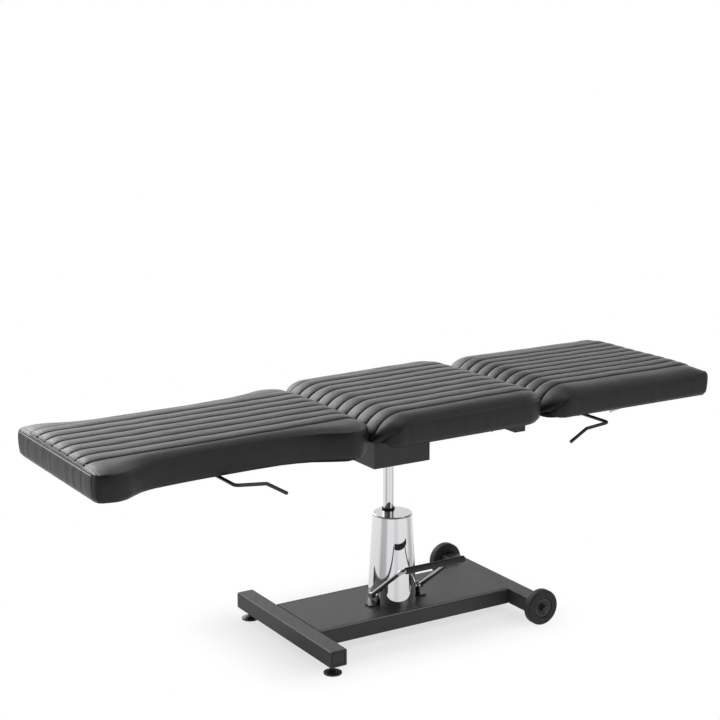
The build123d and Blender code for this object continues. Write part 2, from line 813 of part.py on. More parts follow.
# Eyes and pins of the gas springs, which the frames hold between cheeks
spring_eye_radius = 12
spring_end_eye_width = 17
spring_end_pin_radius = 5
cheek_thickness = 5
cheek_inner = spring_end_eye_width / 2 + side_gap
cheek_outer = cheek_inner + cheek_thickness
legrest_spring_y = 130
legrest_head_reach = 120  # from the hinge pin to the spring's end pin, towards the foot end
legrest_head_drop = 40
legrest_head = Vector(legrest_pivot_x - legrest_head_reach, pivot_z - legrest_head_drop)

# Bent rod levers, their shafts through the rails of the legrest and under those of the back
lever_radius = 4.65
lever_bend = 11
legrest_lever_y = -245
legrest_lever_x = -575
legrest_lever_z = 545
legrest_grip_start_x = -488
legrest_grip_start_z = 536
legrest_grip_end_x = -431
legrest_grip_end_z = 502
lever_shaft_end = 108  # beyond the middle, on the far side
collar_radius = 9
collar_length = 6

with BuildPart() as legrest_frame:
    rail_places = [(-frame_rail_y, legrest_tube_z), (frame_rail_y, legrest_tube_z)]
    extrude(
        tube_profile(end_view(legrest_rail_end), rail_places, frame_tube, frame_wall, frame_corner),
        amount=legrest_tube_far - legrest_rail_end,
    )
    cross_place = (legrest_tube_face - frame_tube / 2, legrest_tube_z)
    extrude(
        tube_profile(side_view(0), [cross_place], frame_tube, frame_wall, frame_corner),
        amount=arm_half_span,
        both=True,
    )
    end_place = (legrest_rail_end - frame_tube / 2, legrest_tube_z)
    extrude(
        tube_profile(side_view(0), [end_place], frame_tube, frame_wall, frame_corner),
        amount=legrest_end_half,
        both=True,
    )
    with BuildSketch(side_view(0)):
        with Locations((legrest_lever_x, legrest_lever_z)):
            Circle(lever_radius + running_gap)
    extrude(amount=2 * frame_rail_y, both=True, mode=Mode.SUBTRACT)
    for cheek_side in (-1, 1):
        cheek_y = legrest_spring_y + cheek_side * (cheek_inner + cheek_thickness / 2)
        with BuildSketch(side_view(cheek_y)):
            with Locations(legrest_head):
                Circle(spring_eye_radius)
                Rectangle(
                    legrest_tube_reach - legrest_head_reach,
                    2 * spring_eye_radius,
                    align=(Align.MAX, Align.CENTER),
                )
                Circle(spring_end_pin_radius, mode=Mode.SUBTRACT)
        extrude(amount=cheek_thickness / 2, both=True)
save(legrest_frame, "legrest_frame")

# Zinc-plated arms from the cross tube's ends up to the hinge pins
with BuildPart() as legrest_hinge_arms:
    with BuildSketch(side_view(-arm_half_span)):
        with BuildLine():
            Polyline(
                (legrest_tube_far, legrest_board_bottom),
                (legrest_tube_far, legrest_board_bottom - frame_tube),
                (legrest_tube_face, legrest_board_bottom - frame_tube),
                (legrest_pivot_x, pivot_z - hinge_eye_radius),
                (legrest_pivot_x, pivot_z + hinge_eye_radius),
                (legrest_end, legrest_board_bottom),
                close=True,
            )
        make_face()
        with Locations((legrest_pivot_x, pivot_z)):
            Circle(hinge_eye_radius)
            Circle(hinge_pin_radius + running_gap, mode=Mode.SUBTRACT)
    extrude(amount=arm_thickness)
    mirror(about=Plane.XZ)
save(legrest_hinge_arms, "legrest_hinge_arms")


def make_lever(shaft_x, shaft_z, shaft_far_y, bend_y, grip_points, collar_faces, name):
    """A bent rod lever: a shaft along Y with two collars, a bend, and the grip.

    The grip goes through the given X and Z places. Each collar starts at a Y place and grows to
    the side that its sign names.
    """
    path_points = [(shaft_x, shaft_far_y, shaft_z), (shaft_x, bend_y, shaft_z)]
    path_points += [(x, bend_y, z) for x, z in grip_points]
    with BuildPart() as lever:
        with BuildLine():
            FilletPolyline(*path_points, radius=lever_bend)
        with BuildSketch(Plane(origin=path_points[0], z_dir=(0, -1, 0))):
            Circle(lever_radius)
        sweep()
        for collar_y, sign in collar_faces:
            with BuildSketch(side_view(collar_y)):
                with Locations((shaft_x, shaft_z)):
                    Circle(collar_radius)
            extrude(amount=-sign * collar_length)
    save(lever, name)


near_rail_outer = -frame_rail_y - frame_tube / 2
near_rail_inner = -frame_rail_y + frame_tube / 2
make_lever(
    legrest_lever_x,
    legrest_lever_z,
    lever_shaft_end,
    legrest_lever_y,
    [(legrest_grip_start_x, legrest_grip_start_z), (legrest_grip_end_x, legrest_grip_end_z)],
    [(near_rail_outer - side_gap, -1), (near_rail_inner + side_gap, 1)],
    "legrest_lever",
)

# Back frame: rails, three cross tubes, lugs for the hinge and cheeks for the gas spring's end pin.
# The cheeks have a slot, because the linkage stays open there.
back_tube_reach = 66  # from the hinge pin to the first cross tube
lug_tube_reach = 137  # from the hinge pin to the tube that carries the gas spring's lug
back_end_tube_reach = 330
back_frame_end = 60  # from the rails' end to the head end of the cushion
back_tube_half = 162
back_tube_z = board_bottom - frame_tube / 2
back_tube_x = back_pivot_x + back_tube_reach + frame_tube / 2
lug_tube_x = back_pivot_x + lug_tube_reach + frame_tube / 2
back_end_tube_x = back_pivot_x + back_end_tube_reach + frame_tube / 2
back_rail_start = back_tube_x + frame_tube / 2
back_rail_end = head_end - back_frame_end

# Bent plates from the seat's rear tube round under the rolled cushion end to the back's pins
plate_middle_y = 120
plate_half_span = 35  # from the middle to each plate's middle
plate_thickness = 8
plate_strap = 18  # width of the plate where it follows the roll
plate_roll_gap = 2
plate_turn = 70  # degrees that the plate follows the roll past the seat, and the back's range
spring_pin_drop = 50  # from the hinge pin down to the gas spring's pin
spring_pin_radius = 6
spring_lug_radius = 13
plate_inner_radius = roll_radius + plate_roll_gap
plate_outer_radius = plate_inner_radius + plate_strap
plate_inner_face = plate_half_span - plate_thickness / 2
plate_outer_face = plate_half_span + plate_thickness / 2
arm_angle = 180 + plate_turn
arm_ray = Vector(cos(radians(arm_angle)), sin(radians(arm_angle)))
arm_side = Vector(-sin(radians(arm_angle)), cos(radians(arm_angle)))
hinge_point = Vector(back_pivot_x, pivot_z)
spring_pin_point = Vector(back_pivot_x, pivot_z - spring_pin_drop)

with BuildPart() as back_hinge_plates:
    for plate_side in (-1, 1):
        plate_y = plate_middle_y + plate_side * plate_half_span
        with BuildSketch(side_view(plate_y)):
            with BuildLine():
                CenterArc(hinge_point, plate_outer_radius, 180, plate_turn)
                inner_start = hinge_point + arm_ray * plate_inner_radius
                Line(hinge_point + arm_ray * plate_outer_radius, inner_start)
                CenterArc(hinge_point, plate_inner_radius, arm_angle, -plate_turn)
                Line(
                    hinge_point - Vector(plate_inner_radius, 0),
                    hinge_point - Vector(plate_outer_radius, 0),
                )
            make_face()
            with BuildLine():
                Polyline(
                    hinge_point - arm_side * hinge_eye_radius,
                    hinge_point - arm_side * hinge_eye_radius + arm_ray * plate_outer_radius,
                    hinge_point + arm_side * hinge_eye_radius + arm_ray * plate_outer_radius,
                    hinge_point + arm_side * hinge_eye_radius,
                    close=True,
                )
            make_face()
            with Locations(hinge_point):
                Circle(hinge_eye_radius)
            with Locations(spring_pin_point):
                Circle(spring_lug_radius)
            with Locations((rear_tube_face, board_bottom)):
                Rectangle(
                    hinge_point.X - plate_inner_radius - rear_tube_face,
                    rail_size,
                    align=(Align.MIN, Align.MAX),
                )
            with Locations(hinge_point):
                Circle(hinge_pin_radius, mode=Mode.SUBTRACT)
            with Locations(spring_pin_point):
                Circle(spring_pin_radius, mode=Mode.SUBTRACT)
        extrude(amount=plate_thickness / 2, both=True)
save(back_hinge_plates, "back_hinge_plates")

lug_thickness = 6
lug_outer_face = plate_inner_face - side_gap
lug_inner_face = lug_outer_face - lug_thickness
slot_reach = 149.6  # from the hinge pin to the slot's middle
slot_drop = 38.1
slot_angle = 49.2
slot_travel = 8  # of the end pin along the slot
slot_slack = 1.3  # round the end pin
spring_cheek_width = 40
spring_cheek_drop = 54  # from the hinge pin down to the cheeks' lower edge
back_rail_spans = [
    (back_rail_start, lug_tube_x - frame_tube / 2),
    (lug_tube_x + frame_tube / 2, back_end_tube_x - frame_tube / 2),
    (back_end_tube_x + frame_tube / 2, back_rail_end),
]

with BuildPart() as back_frame:
    for tube_x in (back_tube_x, lug_tube_x, back_end_tube_x):
        extrude(
            tube_profile(side_view(0), [(tube_x, back_tube_z)], frame_tube, frame_wall, frame_corner),
            amount=back_tube_half,
            both=True,
        )
    rail_places = [(-frame_rail_y, back_tube_z), (frame_rail_y, back_tube_z)]
    for span_start, span_end in back_rail_spans:
        extrude(
            tube_profile(end_view(span_start), rail_places, frame_tube, frame_wall, frame_corner),
            amount=span_end - span_start,
        )
    for lug_side in (-1, 1):
        lug_y = plate_middle_y + lug_side * (lug_outer_face - lug_thickness / 2)
        with BuildSketch(side_view(lug_y)):
            with Locations(hinge_point):
                Circle(hinge_eye_radius)
            with Locations((back_pivot_x, board_bottom)):
                Rectangle(back_tube_reach, frame_tube, align=(Align.MIN, Align.MAX))
            with Locations(hinge_point):
                Circle(hinge_pin_radius + running_gap, mode=Mode.SUBTRACT)
        extrude(amount=lug_thickness / 2, both=True)
        cheek_y = plate_middle_y + lug_side * (cheek_inner + cheek_thickness / 2)
        with BuildSketch(side_view(cheek_y)):
            with Locations((lug_tube_x, pivot_z - spring_cheek_drop)):
                Rectangle(
                    spring_cheek_width,
                    board_bottom - frame_tube - pivot_z + spring_cheek_drop,
                    align=(Align.CENTER, Align.MIN),
                )
            with Locations(Location((back_pivot_x + slot_reach, pivot_z - slot_drop, 0), slot_angle)):
                SlotCenterToCenter(
                    slot_travel, 2 * (spring_end_pin_radius + slot_slack), mode=Mode.SUBTRACT
                )
        extrude(amount=cheek_thickness / 2, both=True)
save(back_frame, "back_frame")

# Hinge pins of the back, and the pin for the gas spring's foot
with BuildPart() as back_hinge_pins:
    for pin_side in (-1, 1):
        with BuildSketch(side_view(plate_middle_y + pin_side * plate_outer_face)):
            with Locations(hinge_point):
                Circle(pin_head_radius)
        extrude(amount=-pin_side * pin_head_height)
        with BuildSketch(side_view(plate_middle_y + pin_side * plate_outer_face)):
            with Locations(hinge_point):
                Circle(hinge_pin_radius)
        extrude(amount=pin_side * (plate_outer_face - lug_inner_face + side_gap))
        with BuildSketch(side_view(plate_middle_y + pin_side * (lug_inner_face - side_gap))):
            with Locations(hinge_point):
                Circle(pin_head_radius)
        extrude(amount=pin_side * pin_head_height)
save(back_hinge_pins, "back_hinge_pins")

with BuildPart() as back_spring_pin:
    with BuildSketch(side_view(plate_middle_y)):
        with Locations(spring_pin_point):
            Circle(spring_pin_radius)
    extrude(amount=plate_outer_face + pin_head_height, both=True)
save(back_spring_pin, "back_spring_pin")

# Release lever of the back, in one zinc-plated bracket under the board and one under the tube
back_lever_x = 603
back_lever_z = 540
back_lever_y = -237
back_grip_start_x = 526
back_grip_start_z = 533
back_grip_end_x = 470
back_grip_end_z = 502
back_lever_end = 62  # beyond the middle, on the far side
bracket_eye_radius = 11
bracket_plate = 6
near_bracket_y = -176  # inner face of the zinc-plated bracket
near_bracket_rear = 720
near_bracket_toe = 552  # height of its lower edge at the rear
near_bracket_flange = 20
far_bracket_y = 40

make_lever(
    back_lever_x,
    back_lever_z,
    back_lever_end,
    back_lever_y,
    [(back_grip_start_x, back_grip_start_z), (back_grip_end_x, back_grip_end_z)],
    [(far_bracket_y + side_gap, 1), (far_bracket_y - bracket_plate - side_gap, -1)],
    "back_lever",
)

with BuildPart() as back_lever_near_bracket:
    with BuildSketch(side_view(near_bracket_y)):
        with BuildLine():
            Polyline(
                (back_lever_x - bracket_eye_radius, board_bottom),
                (back_lever_x - bracket_eye_radius, back_lever_z),
                (back_lever_x, back_lever_z - bracket_eye_radius),
                (near_bracket_rear, near_bracket_toe),
                (near_bracket_rear, board_bottom),
                close=True,
            )
        make_face()
        with Locations((back_lever_x, back_lever_z)):
            Circle(bracket_eye_radius)
            Circle(lever_radius + running_gap, mode=Mode.SUBTRACT)
    extrude(amount=bracket_plate)
    with BuildSketch(top_view(board_bottom)):
        with Locations((back_lever_x - bracket_eye_radius, near_bracket_y)):
            Rectangle(
                near_bracket_rear - back_lever_x + bracket_eye_radius,
                near_bracket_flange,
                align=(Align.MIN, Align.MAX),
            )
    extrude(amount=-bracket_plate / 2)
save(back_lever_near_bracket, "back_lever_near_bracket")

with BuildPart() as back_lever_far_bracket:
    with BuildSketch(side_view(far_bracket_y)):
        with Locations((back_lever_x, back_lever_z)):
            Circle(bracket_eye_radius)
            Rectangle(
                2 * bracket_eye_radius,
                board_bottom - frame_tube - back_lever_z,
                align=(Align.CENTER, Align.MIN),
            )
            Circle(lever_radius + running_gap, mode=Mode.SUBTRACT)
    extrude(amount=bracket_plate)
save(back_lever_far_bracket, "back_lever_far_bracket")

# Gas springs: a cylinder with an eye at its foot, and a rod with a piston and a release head
spring_radius = 11
spring_bore = 9
spring_rod_radius = 4
spring_floor = 18  # from the foot pin to the bottom of the bore
spring_gland = 6
spring_piston = 8
spring_eye_width = 23
spring_head_radius = 8
spring_head_length = 12
spring_slack = 1.6  # round the legrest spring's end pin, where the linkage stays open


def spring_plane(foot, end, y):
    """A plane at y with its origin at the spring's foot pin and X along the spring."""
    return Plane(origin=(foot.X, y, foot.Y), x_dir=(end.X - foot.X, 0, end.Y - foot.Y), z_dir=(0, -1, 0))


def make_spring_cylinder(foot, end, y, body_end, foot_pin_radius, name):
    """The cylinder of a gas spring, from its foot pin to its gland."""
    plane = spring_plane(foot, end, y)
    with BuildPart() as cylinder:
        with BuildSketch(plane):
            with BuildLine():
                Polyline(
                    (0, 0),
                    (0, spring_radius),
                    (body_end, spring_radius),
                    (body_end, spring_rod_radius + running_gap),
                    (body_end - spring_gland, spring_rod_radius + running_gap),
                    (body_end - spring_gland, spring_bore),
                    (spring_floor, spring_bore),
                    (spring_floor, 0),
                    close=True,
                )
            make_face()
        revolve(axis=Axis(plane.origin, plane.x_dir))
        with BuildSketch(plane):
            Circle(spring_eye_radius)
        extrude(amount=spring_eye_width / 2, both=True)
        with BuildSketch(plane):
            Circle(foot_pin_radius + running_gap)
        extrude(amount=spring_eye_width, both=True, mode=Mode.SUBTRACT)
    save(cylinder, name)


def make_spring_rod(foot, end, y, piston_start, end_bore, name):
    """The rod of a gas spring, from its piston to the eye of its release head."""
    plane = spring_plane(foot, end, y)
    length = (end - foot).length
    head_start = length - spring_eye_radius - spring_head_length
    with BuildPart() as rod:
        with BuildSketch(plane):
            with BuildLine():
                Polyline(
                    (piston_start, 0),
                    (piston_start, spring_bore - running_gap),
                    (piston_start + spring_piston, spring_bore - running_gap),
                    (piston_start + spring_piston, spring_rod_radius),
                    (head_start, spring_rod_radius),
                    (head_start, spring_head_radius),
                    (length, spring_head_radius),
                    (length, 0),
                    close=True,
                )
            make_face()
        revolve(axis=Axis(plane.origin, plane.x_dir))
        with BuildSketch(side_view(y)):
            with Locations(end):
                Circle(spring_eye_radius)
        extrude(amount=spring_end_eye_width / 2, both=True)
        with BuildSketch(side_view(y)):
            with Locations(end):
                Circle(end_bore)
        extrude(amount=spring_end_eye_width, both=True, mode=Mode.SUBTRACT)
    save(rod, name)


# Gas spring of the legrest, from a stud on the box to the cheeks on the frame
legrest_foot_reach = 44  # from the hinge pin to the foot pin, towards the head
legrest_foot_drop = 98.2
legrest_body_end = 102
legrest_piston_start = 84
legrest_foot = Vector(legrest_pivot_x + legrest_foot_reach, pivot_z - legrest_foot_drop)

make_spring_cylinder(
    legrest_foot,
    legrest_head,
    legrest_spring_y,
    legrest_body_end,
    spring_pin_radius,
    "legrest_spring_cylinder",
)
make_spring_rod(
    legrest_foot,
    legrest_head,
    legrest_spring_y,
    legrest_piston_start,
    spring_end_pin_radius + spring_slack,
    "legrest_spring_rod",
)

stud_plate_size = 44
stud_plate_thickness = 5
stud_shoulder_radius = 10
stud_plate_rise = 12  # of the plate's middle over the stud
stud_start = legrest_spring_y - spring_eye_width / 2 - side_gap
stud_end = legrest_spring_y + spring_eye_width / 2 + side_gap

with BuildPart() as legrest_spring_stud:
    with BuildSketch(side_view(box_width / 2)):
        with Locations((legrest_foot.X, legrest_foot.Y + stud_plate_rise)):
            Rectangle(stud_plate_size, stud_plate_size)
    extrude(amount=-stud_plate_thickness)
    with BuildSketch(side_view(box_width / 2)):
        with Locations(legrest_foot):
            Circle(stud_shoulder_radius)
    extrude(amount=-(stud_start - box_width / 2))
    with BuildSketch(side_view(stud_start)):
        with Locations(legrest_foot):
            Circle(spring_pin_radius)
    extrude(amount=-(stud_end - stud_start))
    with BuildSketch(side_view(stud_end)):
        with Locations(legrest_foot):
            Circle(pin_head_radius)
    extrude(amount=-pin_head_height)
save(legrest_spring_stud, "legrest_spring_stud")

with BuildPart() as legrest_spring_end_pin:
    with BuildSketch(side_view(legrest_spring_y)):
        with Locations(legrest_head):
            Circle(spring_end_pin_radius)
    extrude(amount=cheek_outer, both=True)
    for cheek_side in (-1, 1):
        with BuildSketch(side_view(legrest_spring_y + cheek_side * cheek_outer)):
            with Locations(legrest_head):
                Circle(pin_head_radius)
        extrude(amount=-cheek_side * pin_head_height)
save(legrest_spring_end_pin, "legrest_spring_end_pin")

# Gas spring of the back, from the pin between the hinge plates to the cheeks on the frame
back_spring_length = 152.5
back_spring_angle = 5.83
back_body_end = 104
back_piston_start = 22
back_spring_end = spring_pin_point + Vector(
    back_spring_length * cos(radians(back_spring_angle)),
    back_spring_length * sin(radians(back_spring_angle)),
)

make_spring_cylinder(
    spring_pin_point,
    back_spring_end,
    plate_middle_y,
    back_body_end,
    spring_pin_radius,
    "back_spring_cylinder",
)
make_spring_rod(
    spring_pin_point,
    back_spring_end,
    plate_middle_y,
    back_piston_start,
    spring_end_pin_radius,
    "back_spring_rod",
)

with BuildPart() as back_spring_end_pin:
    with BuildSketch(side_view(plate_middle_y)):
        with Locations(back_spring_end):
            Circle(spring_end_pin_radius)
    extrude(amount=cheek_outer + side_gap, both=True)
    for cheek_side in (-1, 1):
        with BuildSketch(side_view(plate_middle_y + cheek_side * (cheek_outer + side_gap))):
            with Locations(back_spring_end):
                Circle(pin_head_radius)
        extrude(amount=-cheek_side * pin_head_height)
save(back_spring_end_pin, "back_spring_end_pin")

# Boards under the cushions
board_inset = 26  # of the boards behind the cushions' sides
board_corner = 30
hinge_notch_gap = 6  # between the boards and the hinges
seat_tongue_reach = 67  # of the seat board past the legrest's hinge pins
back_tongue_reach = 80  # of the back board past its hinge pins

with BuildPart() as seat_board:
    seat_board_front = legrest_pivot_x + hinge_eye_radius + hinge_notch_gap
    with BuildSketch(top_view(board_bottom)):
        with Locations((seat_board_front, 0)):
            Rectangle(
                seat_rear - board_inset - seat_board_front,
                seat_width - 2 * board_inset,
                align=(Align.MIN, Align.CENTER),
            )
        with Locations((seat_board_front, 0)):
            Rectangle(
                hinge_eye_radius + hinge_notch_gap + seat_tongue_reach,
                2 * (arm_half_span - pin_head_height - hinge_notch_gap),
                align=(Align.MAX, Align.CENTER),
            )
    extrude(amount=board_thickness)
    fillet(
        seat_board.edges().filter_by(Axis.Z).group_by(Axis.X)[-1]
        + seat_board.edges().filter_by(Axis.Z).group_by(Axis.X)[0],
        board_corner,
    )
save(seat_board, "seat_board")

with BuildPart() as back_board:
    back_board_front = back_pivot_x - back_tongue_reach
    notch_half = plate_outer_face + pin_head_height + hinge_notch_gap
    with BuildSketch(top_view(board_bottom)):
        with Locations((back_board_front, 0)):
            Rectangle(
                head_end - board_inset - back_board_front,
                back_width - 2 * board_inset,
                align=(Align.MIN, Align.CENTER),
            )
    extrude(amount=board_thickness)
    fillet(back_board.edges().filter_by(Axis.Z), board_corner)
    with BuildSketch(top_view(board_bottom)):
        with Locations((back_board_front, plate_middle_y)):
            Rectangle(
                back_tongue_reach + hinge_eye_radius + hinge_notch_gap,
                2 * notch_half,
                align=(Align.MIN, Align.CENTER),
            )
    extrude(amount=board_thickness, mode=Mode.SUBTRACT)
save(back_board, "back_board")

# Cushions. Each is a loft through sections across the bed: a flat underside, drawn-in sides up
# to the boxing seam, a rounded shoulder, and a channel between each pair of seam lines.
side_tuck = 5  # of the cover at its lower edge
seam_tuck = 2  # of the boxing seam behind the widest place of the side
shoulder_bulge_share = 0.12  # of the shoulder's chord
channel_rise = 2.5  # of each channel over its seam lines
seam_share = 0.8  # height of the boxing seam, of the height to the seam lines
plan_corner = 50
end_rounding = 9  # of the upper edge of a boxed end
roll_angles = [14, 22, 31, 41, 52, 64, 77]  # degrees from the foot of a roll, for its sections
end_distance_shares = [0, 0.04, 0.1, 0.18, 0.32, 0.6, 1]  # of the plan corner, for the sections


def cushion_profile(x, half_width, underside, line_z, lines):
    """The section of a cushion at x, with its seam lines at the given Y places and one height."""
    seam_z = underside + seam_share * (line_z - underside)
    side_z = (underside + seam_z) / 2
    foot_y = half_width - side_tuck
    seam_y = half_width - seam_tuck
    chord = Vector(lines[-1] - seam_y, line_z - seam_z)
    bulge = Vector(chord.Y, -chord.X) * shoulder_bulge_share
    shoulder = (Vector(seam_y, seam_z) + Vector(lines[-1], line_z)) / 2 + bulge
    with BuildSketch(end_view(x)) as profile:
        with BuildLine():
            Line((-foot_y, underside), (foot_y, underside))
            ThreePointArc((foot_y, underside), (half_width, side_z), (seam_y, seam_z))
            ThreePointArc((seam_y, seam_z), shoulder, (lines[-1], line_z))
            for start, end in zip(lines[::-1], lines[-2::-1]):
                ThreePointArc((start, line_z), ((start + end) / 2, line_z + channel_rise), (end, line_z))
            ThreePointArc((-lines[-1], line_z), (-shoulder.X, shoulder.Y), (-seam_y, seam_z))
            ThreePointArc((-seam_y, seam_z), (-half_width, side_z), (-foot_y, underside))
        make_face()
    return profile.sketch


def seam_lines(count, spacing):
    """The Y places of the seam lines, evenly spaced about the middle."""
    return [(number - (count - 1) / 2) * spacing for number in range(count)]


def corner_inset(distance):
    """How far a side stands in at a distance from the end, where the plan's corner is round."""
    short = max(plan_corner - distance, 0)
    return plan_corner - sqrt(plan_corner**2 - short**2)


def end_drop(distance):
    """How far the top stands lower at a distance from a boxed end."""
    short = max(end_rounding - distance, 0)
    return end_rounding - sqrt(end_rounding**2 - short**2)


def rolled_cushion(roll_x, boxed_x, half_width, lines):
    """Sections of a cushion from its rolled end, about the hinge at roll_x, to its boxed end."""
    sections = []
    for angle in roll_angles:
        x = roll_x - roll_radius * cos(radians(angle))
        line_z = pivot_z + roll_radius * sin(radians(angle)) - channel_rise
        inset = corner_inset(x - roll_x + roll_radius)
        sections.append(cushion_profile(x, half_width - inset, seat_underside, line_z, lines))
    line_z = pivot_z + roll_radius - channel_rise
    sections.append(cushion_profile(roll_x, half_width, seat_underside, line_z, lines))
    for share in end_distance_shares[::-1]:
        distance = share * plan_corner
        sections.append(
            cushion_profile(
                boxed_x - distance,
                half_width - corner_inset(distance),
                seat_underside,
                line_z - end_drop(distance),
                lines,
            )
        )
    return sections


seat_line_count = 10
seat_line_spacing = 51
back_line_count = 10
back_line_spacing = 44.7
seat_lines = seam_lines(seat_line_count, seat_line_spacing)
back_lines = seam_lines(back_line_count, back_line_spacing)

with BuildPart() as seat_cushion:
    loft(rolled_cushion(legrest_pivot_x, seat_rear, seat_width / 2, seat_lines), ruled=True)
save(seat_cushion, "seat_cushion")

with BuildPart() as back_cushion:
    loft(rolled_cushion(back_pivot_x, head_end, back_width / 2, back_lines), ruled=True)
save(back_cushion, "back_cushion")

# The legrest's cushion and board follow a waisted plan: half widths along the length
legrest_width = 540
legrest_line_count = 8
legrest_line_spacing = 49.5
legrest_line_height = 71  # of the seam lines over the underside
legrest_length = legrest_end - foot_end
legrest_line_z = legrest_underside + legrest_line_height
legrest_plan_shares = [
    (0, 0.86),
    (0.006, 0.92),
    (0.02, 0.95),
    (0.046, 0.974),
    (0.079, 0.981),
    (0.105, 0.96),
    (0.138, 0.9),
    (0.171, 0.844),
    (0.204, 0.811),
    (0.25, 0.794),
    (0.315, 0.781),
    (0.473, 0.772),
    (0.63, 0.778),
    (0.709, 0.793),
    (0.762, 0.815),
    (0.814, 0.852),
    (0.86, 0.915),
    (0.89, 0.956),
    (0.92, 0.992),
    (0.9345, 1),
    (0.9586, 0.987),
    (0.978, 0.952),
    (0.991, 0.906),
    (0.998, 0.86),
    (1, 0.815),
]
legrest_lines = seam_lines(legrest_line_count, legrest_line_spacing)

with BuildPart() as legrest_cushion:
    legrest_sections = []
    for length_share, width_share in legrest_plan_shares:
        x = foot_end + length_share * legrest_length
        drop = end_drop(min(x - foot_end, legrest_end - x))
        legrest_sections.append(
            cushion_profile(
                x, width_share * legrest_width / 2, legrest_underside, legrest_line_z - drop, legrest_lines
            )
        )
    loft(legrest_sections, ruled=True)
save(legrest_cushion, "legrest_cushion")

with BuildPart() as legrest_board:
    with BuildSketch(top_view(legrest_board_bottom)):
        with BuildLine():
            board_side = [
                (
                    foot_end + board_inset + length_share * (legrest_length - 2 * board_inset),
                    width_share * legrest_width / 2 - board_inset,
                )
                for length_share, width_share in legrest_plan_shares
            ]
            Polyline(*board_side, *[(x, -y) for x, y in board_side[::-1]], close=True)
        make_face()
    extrude(amount=board_thickness)
save(legrest_board, "legrest_board")
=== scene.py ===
import math

import bmesh
import bpy
import numpy as np
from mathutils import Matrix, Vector, noise


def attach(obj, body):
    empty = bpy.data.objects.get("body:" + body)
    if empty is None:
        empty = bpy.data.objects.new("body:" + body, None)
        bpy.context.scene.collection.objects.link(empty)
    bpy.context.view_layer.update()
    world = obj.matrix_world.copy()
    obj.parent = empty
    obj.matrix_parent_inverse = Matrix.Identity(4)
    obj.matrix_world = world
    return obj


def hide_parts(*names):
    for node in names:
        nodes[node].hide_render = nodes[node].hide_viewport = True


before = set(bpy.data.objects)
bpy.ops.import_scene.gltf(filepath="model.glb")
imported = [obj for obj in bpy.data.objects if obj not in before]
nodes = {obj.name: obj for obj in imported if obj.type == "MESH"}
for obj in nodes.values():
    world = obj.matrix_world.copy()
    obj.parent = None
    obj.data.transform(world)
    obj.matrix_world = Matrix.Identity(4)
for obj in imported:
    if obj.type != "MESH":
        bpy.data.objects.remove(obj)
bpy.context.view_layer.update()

# Camera: at the height of a standing person's eyes, off the foot end on the side with the levers.
# It looks along the bed and down a little, through a long lens.
camera_data = bpy.data.cameras.new("camera")
camera_data.sensor_width = 36
camera_data.lens = 82.377
camera_data.clip_end = 60
camera = bpy.data.objects.new("camera", camera_data)
camera.location = (-2.3372, -3.6671, 1.7025)
camera.rotation_euler = (math.radians(90 - 12.43), 0, math.radians(58.24 - 90))
bpy.context.scene.collection.objects.link(camera)
bpy.context.scene.camera = camera
bpy.context.scene.view_settings.view_transform = "Standard"


# Studio: a white sweep all round the chair, and large soft boxes over it and to its foot end.
# Gloss sees the white sweep behind the chair, and the dim side of the room behind the camera.
class Value:
    """A socket of a node tree, with the operators that add Math nodes."""

    def __init__(self, tree, socket):
        self.tree = tree
        self.socket = socket

    def node(self, kind, settings, inputs, output=0):
        """Adds a node of any kind and returns one of its outputs."""
        added = self.tree.nodes.new(kind)
        for key, value in settings.items():
            setattr(added, key, value)
        for key, value in inputs.items():
            if isinstance(value, Value):
                self.tree.links.new(value.socket, added.inputs[key])
            else:
                added.inputs[key].default_value = value
        return Value(self.tree, added.outputs[output])

    def maths(self, operation, *values):
        return self.node("ShaderNodeMath", {"operation": operation}, dict(enumerate(values)))

    def __add__(self, other):
        return self.maths("ADD", self, other)

    __radd__ = __add__

    def __mul__(self, other):
        return self.maths("MULTIPLY", self, other)

    __rmul__ = __mul__

    def __sub__(self, other):
        return self.maths("SUBTRACT", self, other)

    def __rsub__(self, other):
        return self.maths("SUBTRACT", other, self)

    def __abs__(self):
        return self.maths("ABSOLUTE", self)

    def axis(self, letter):
        """One coordinate of a vector."""
        return self.node("ShaderNodeSeparateXYZ", {}, {"Vector": self}, letter)

    def vector(self, operation, *others):
        """Vector maths that gives a vector."""
        return self.node("ShaderNodeVectorMath", {"operation": operation}, dict(enumerate((self, *others))))

    def vector_number(self, operation, *others):
        """Vector maths that gives a number, such as a length."""
        return self.node(
            "ShaderNodeVectorMath", {"operation": operation}, dict(enumerate((self, *others))), "Value"
        )

    def rise(self, low, high, start=0, end=1):
        """Runs smoothly from start to end as the value goes from low to high."""
        return self.node(
            "ShaderNodeMapRange",
            {"interpolation_type": "SMOOTHSTEP"},
            {"Value": self, "From Min": low, "From Max": high, "To Min": start, "To Max": end},
        )


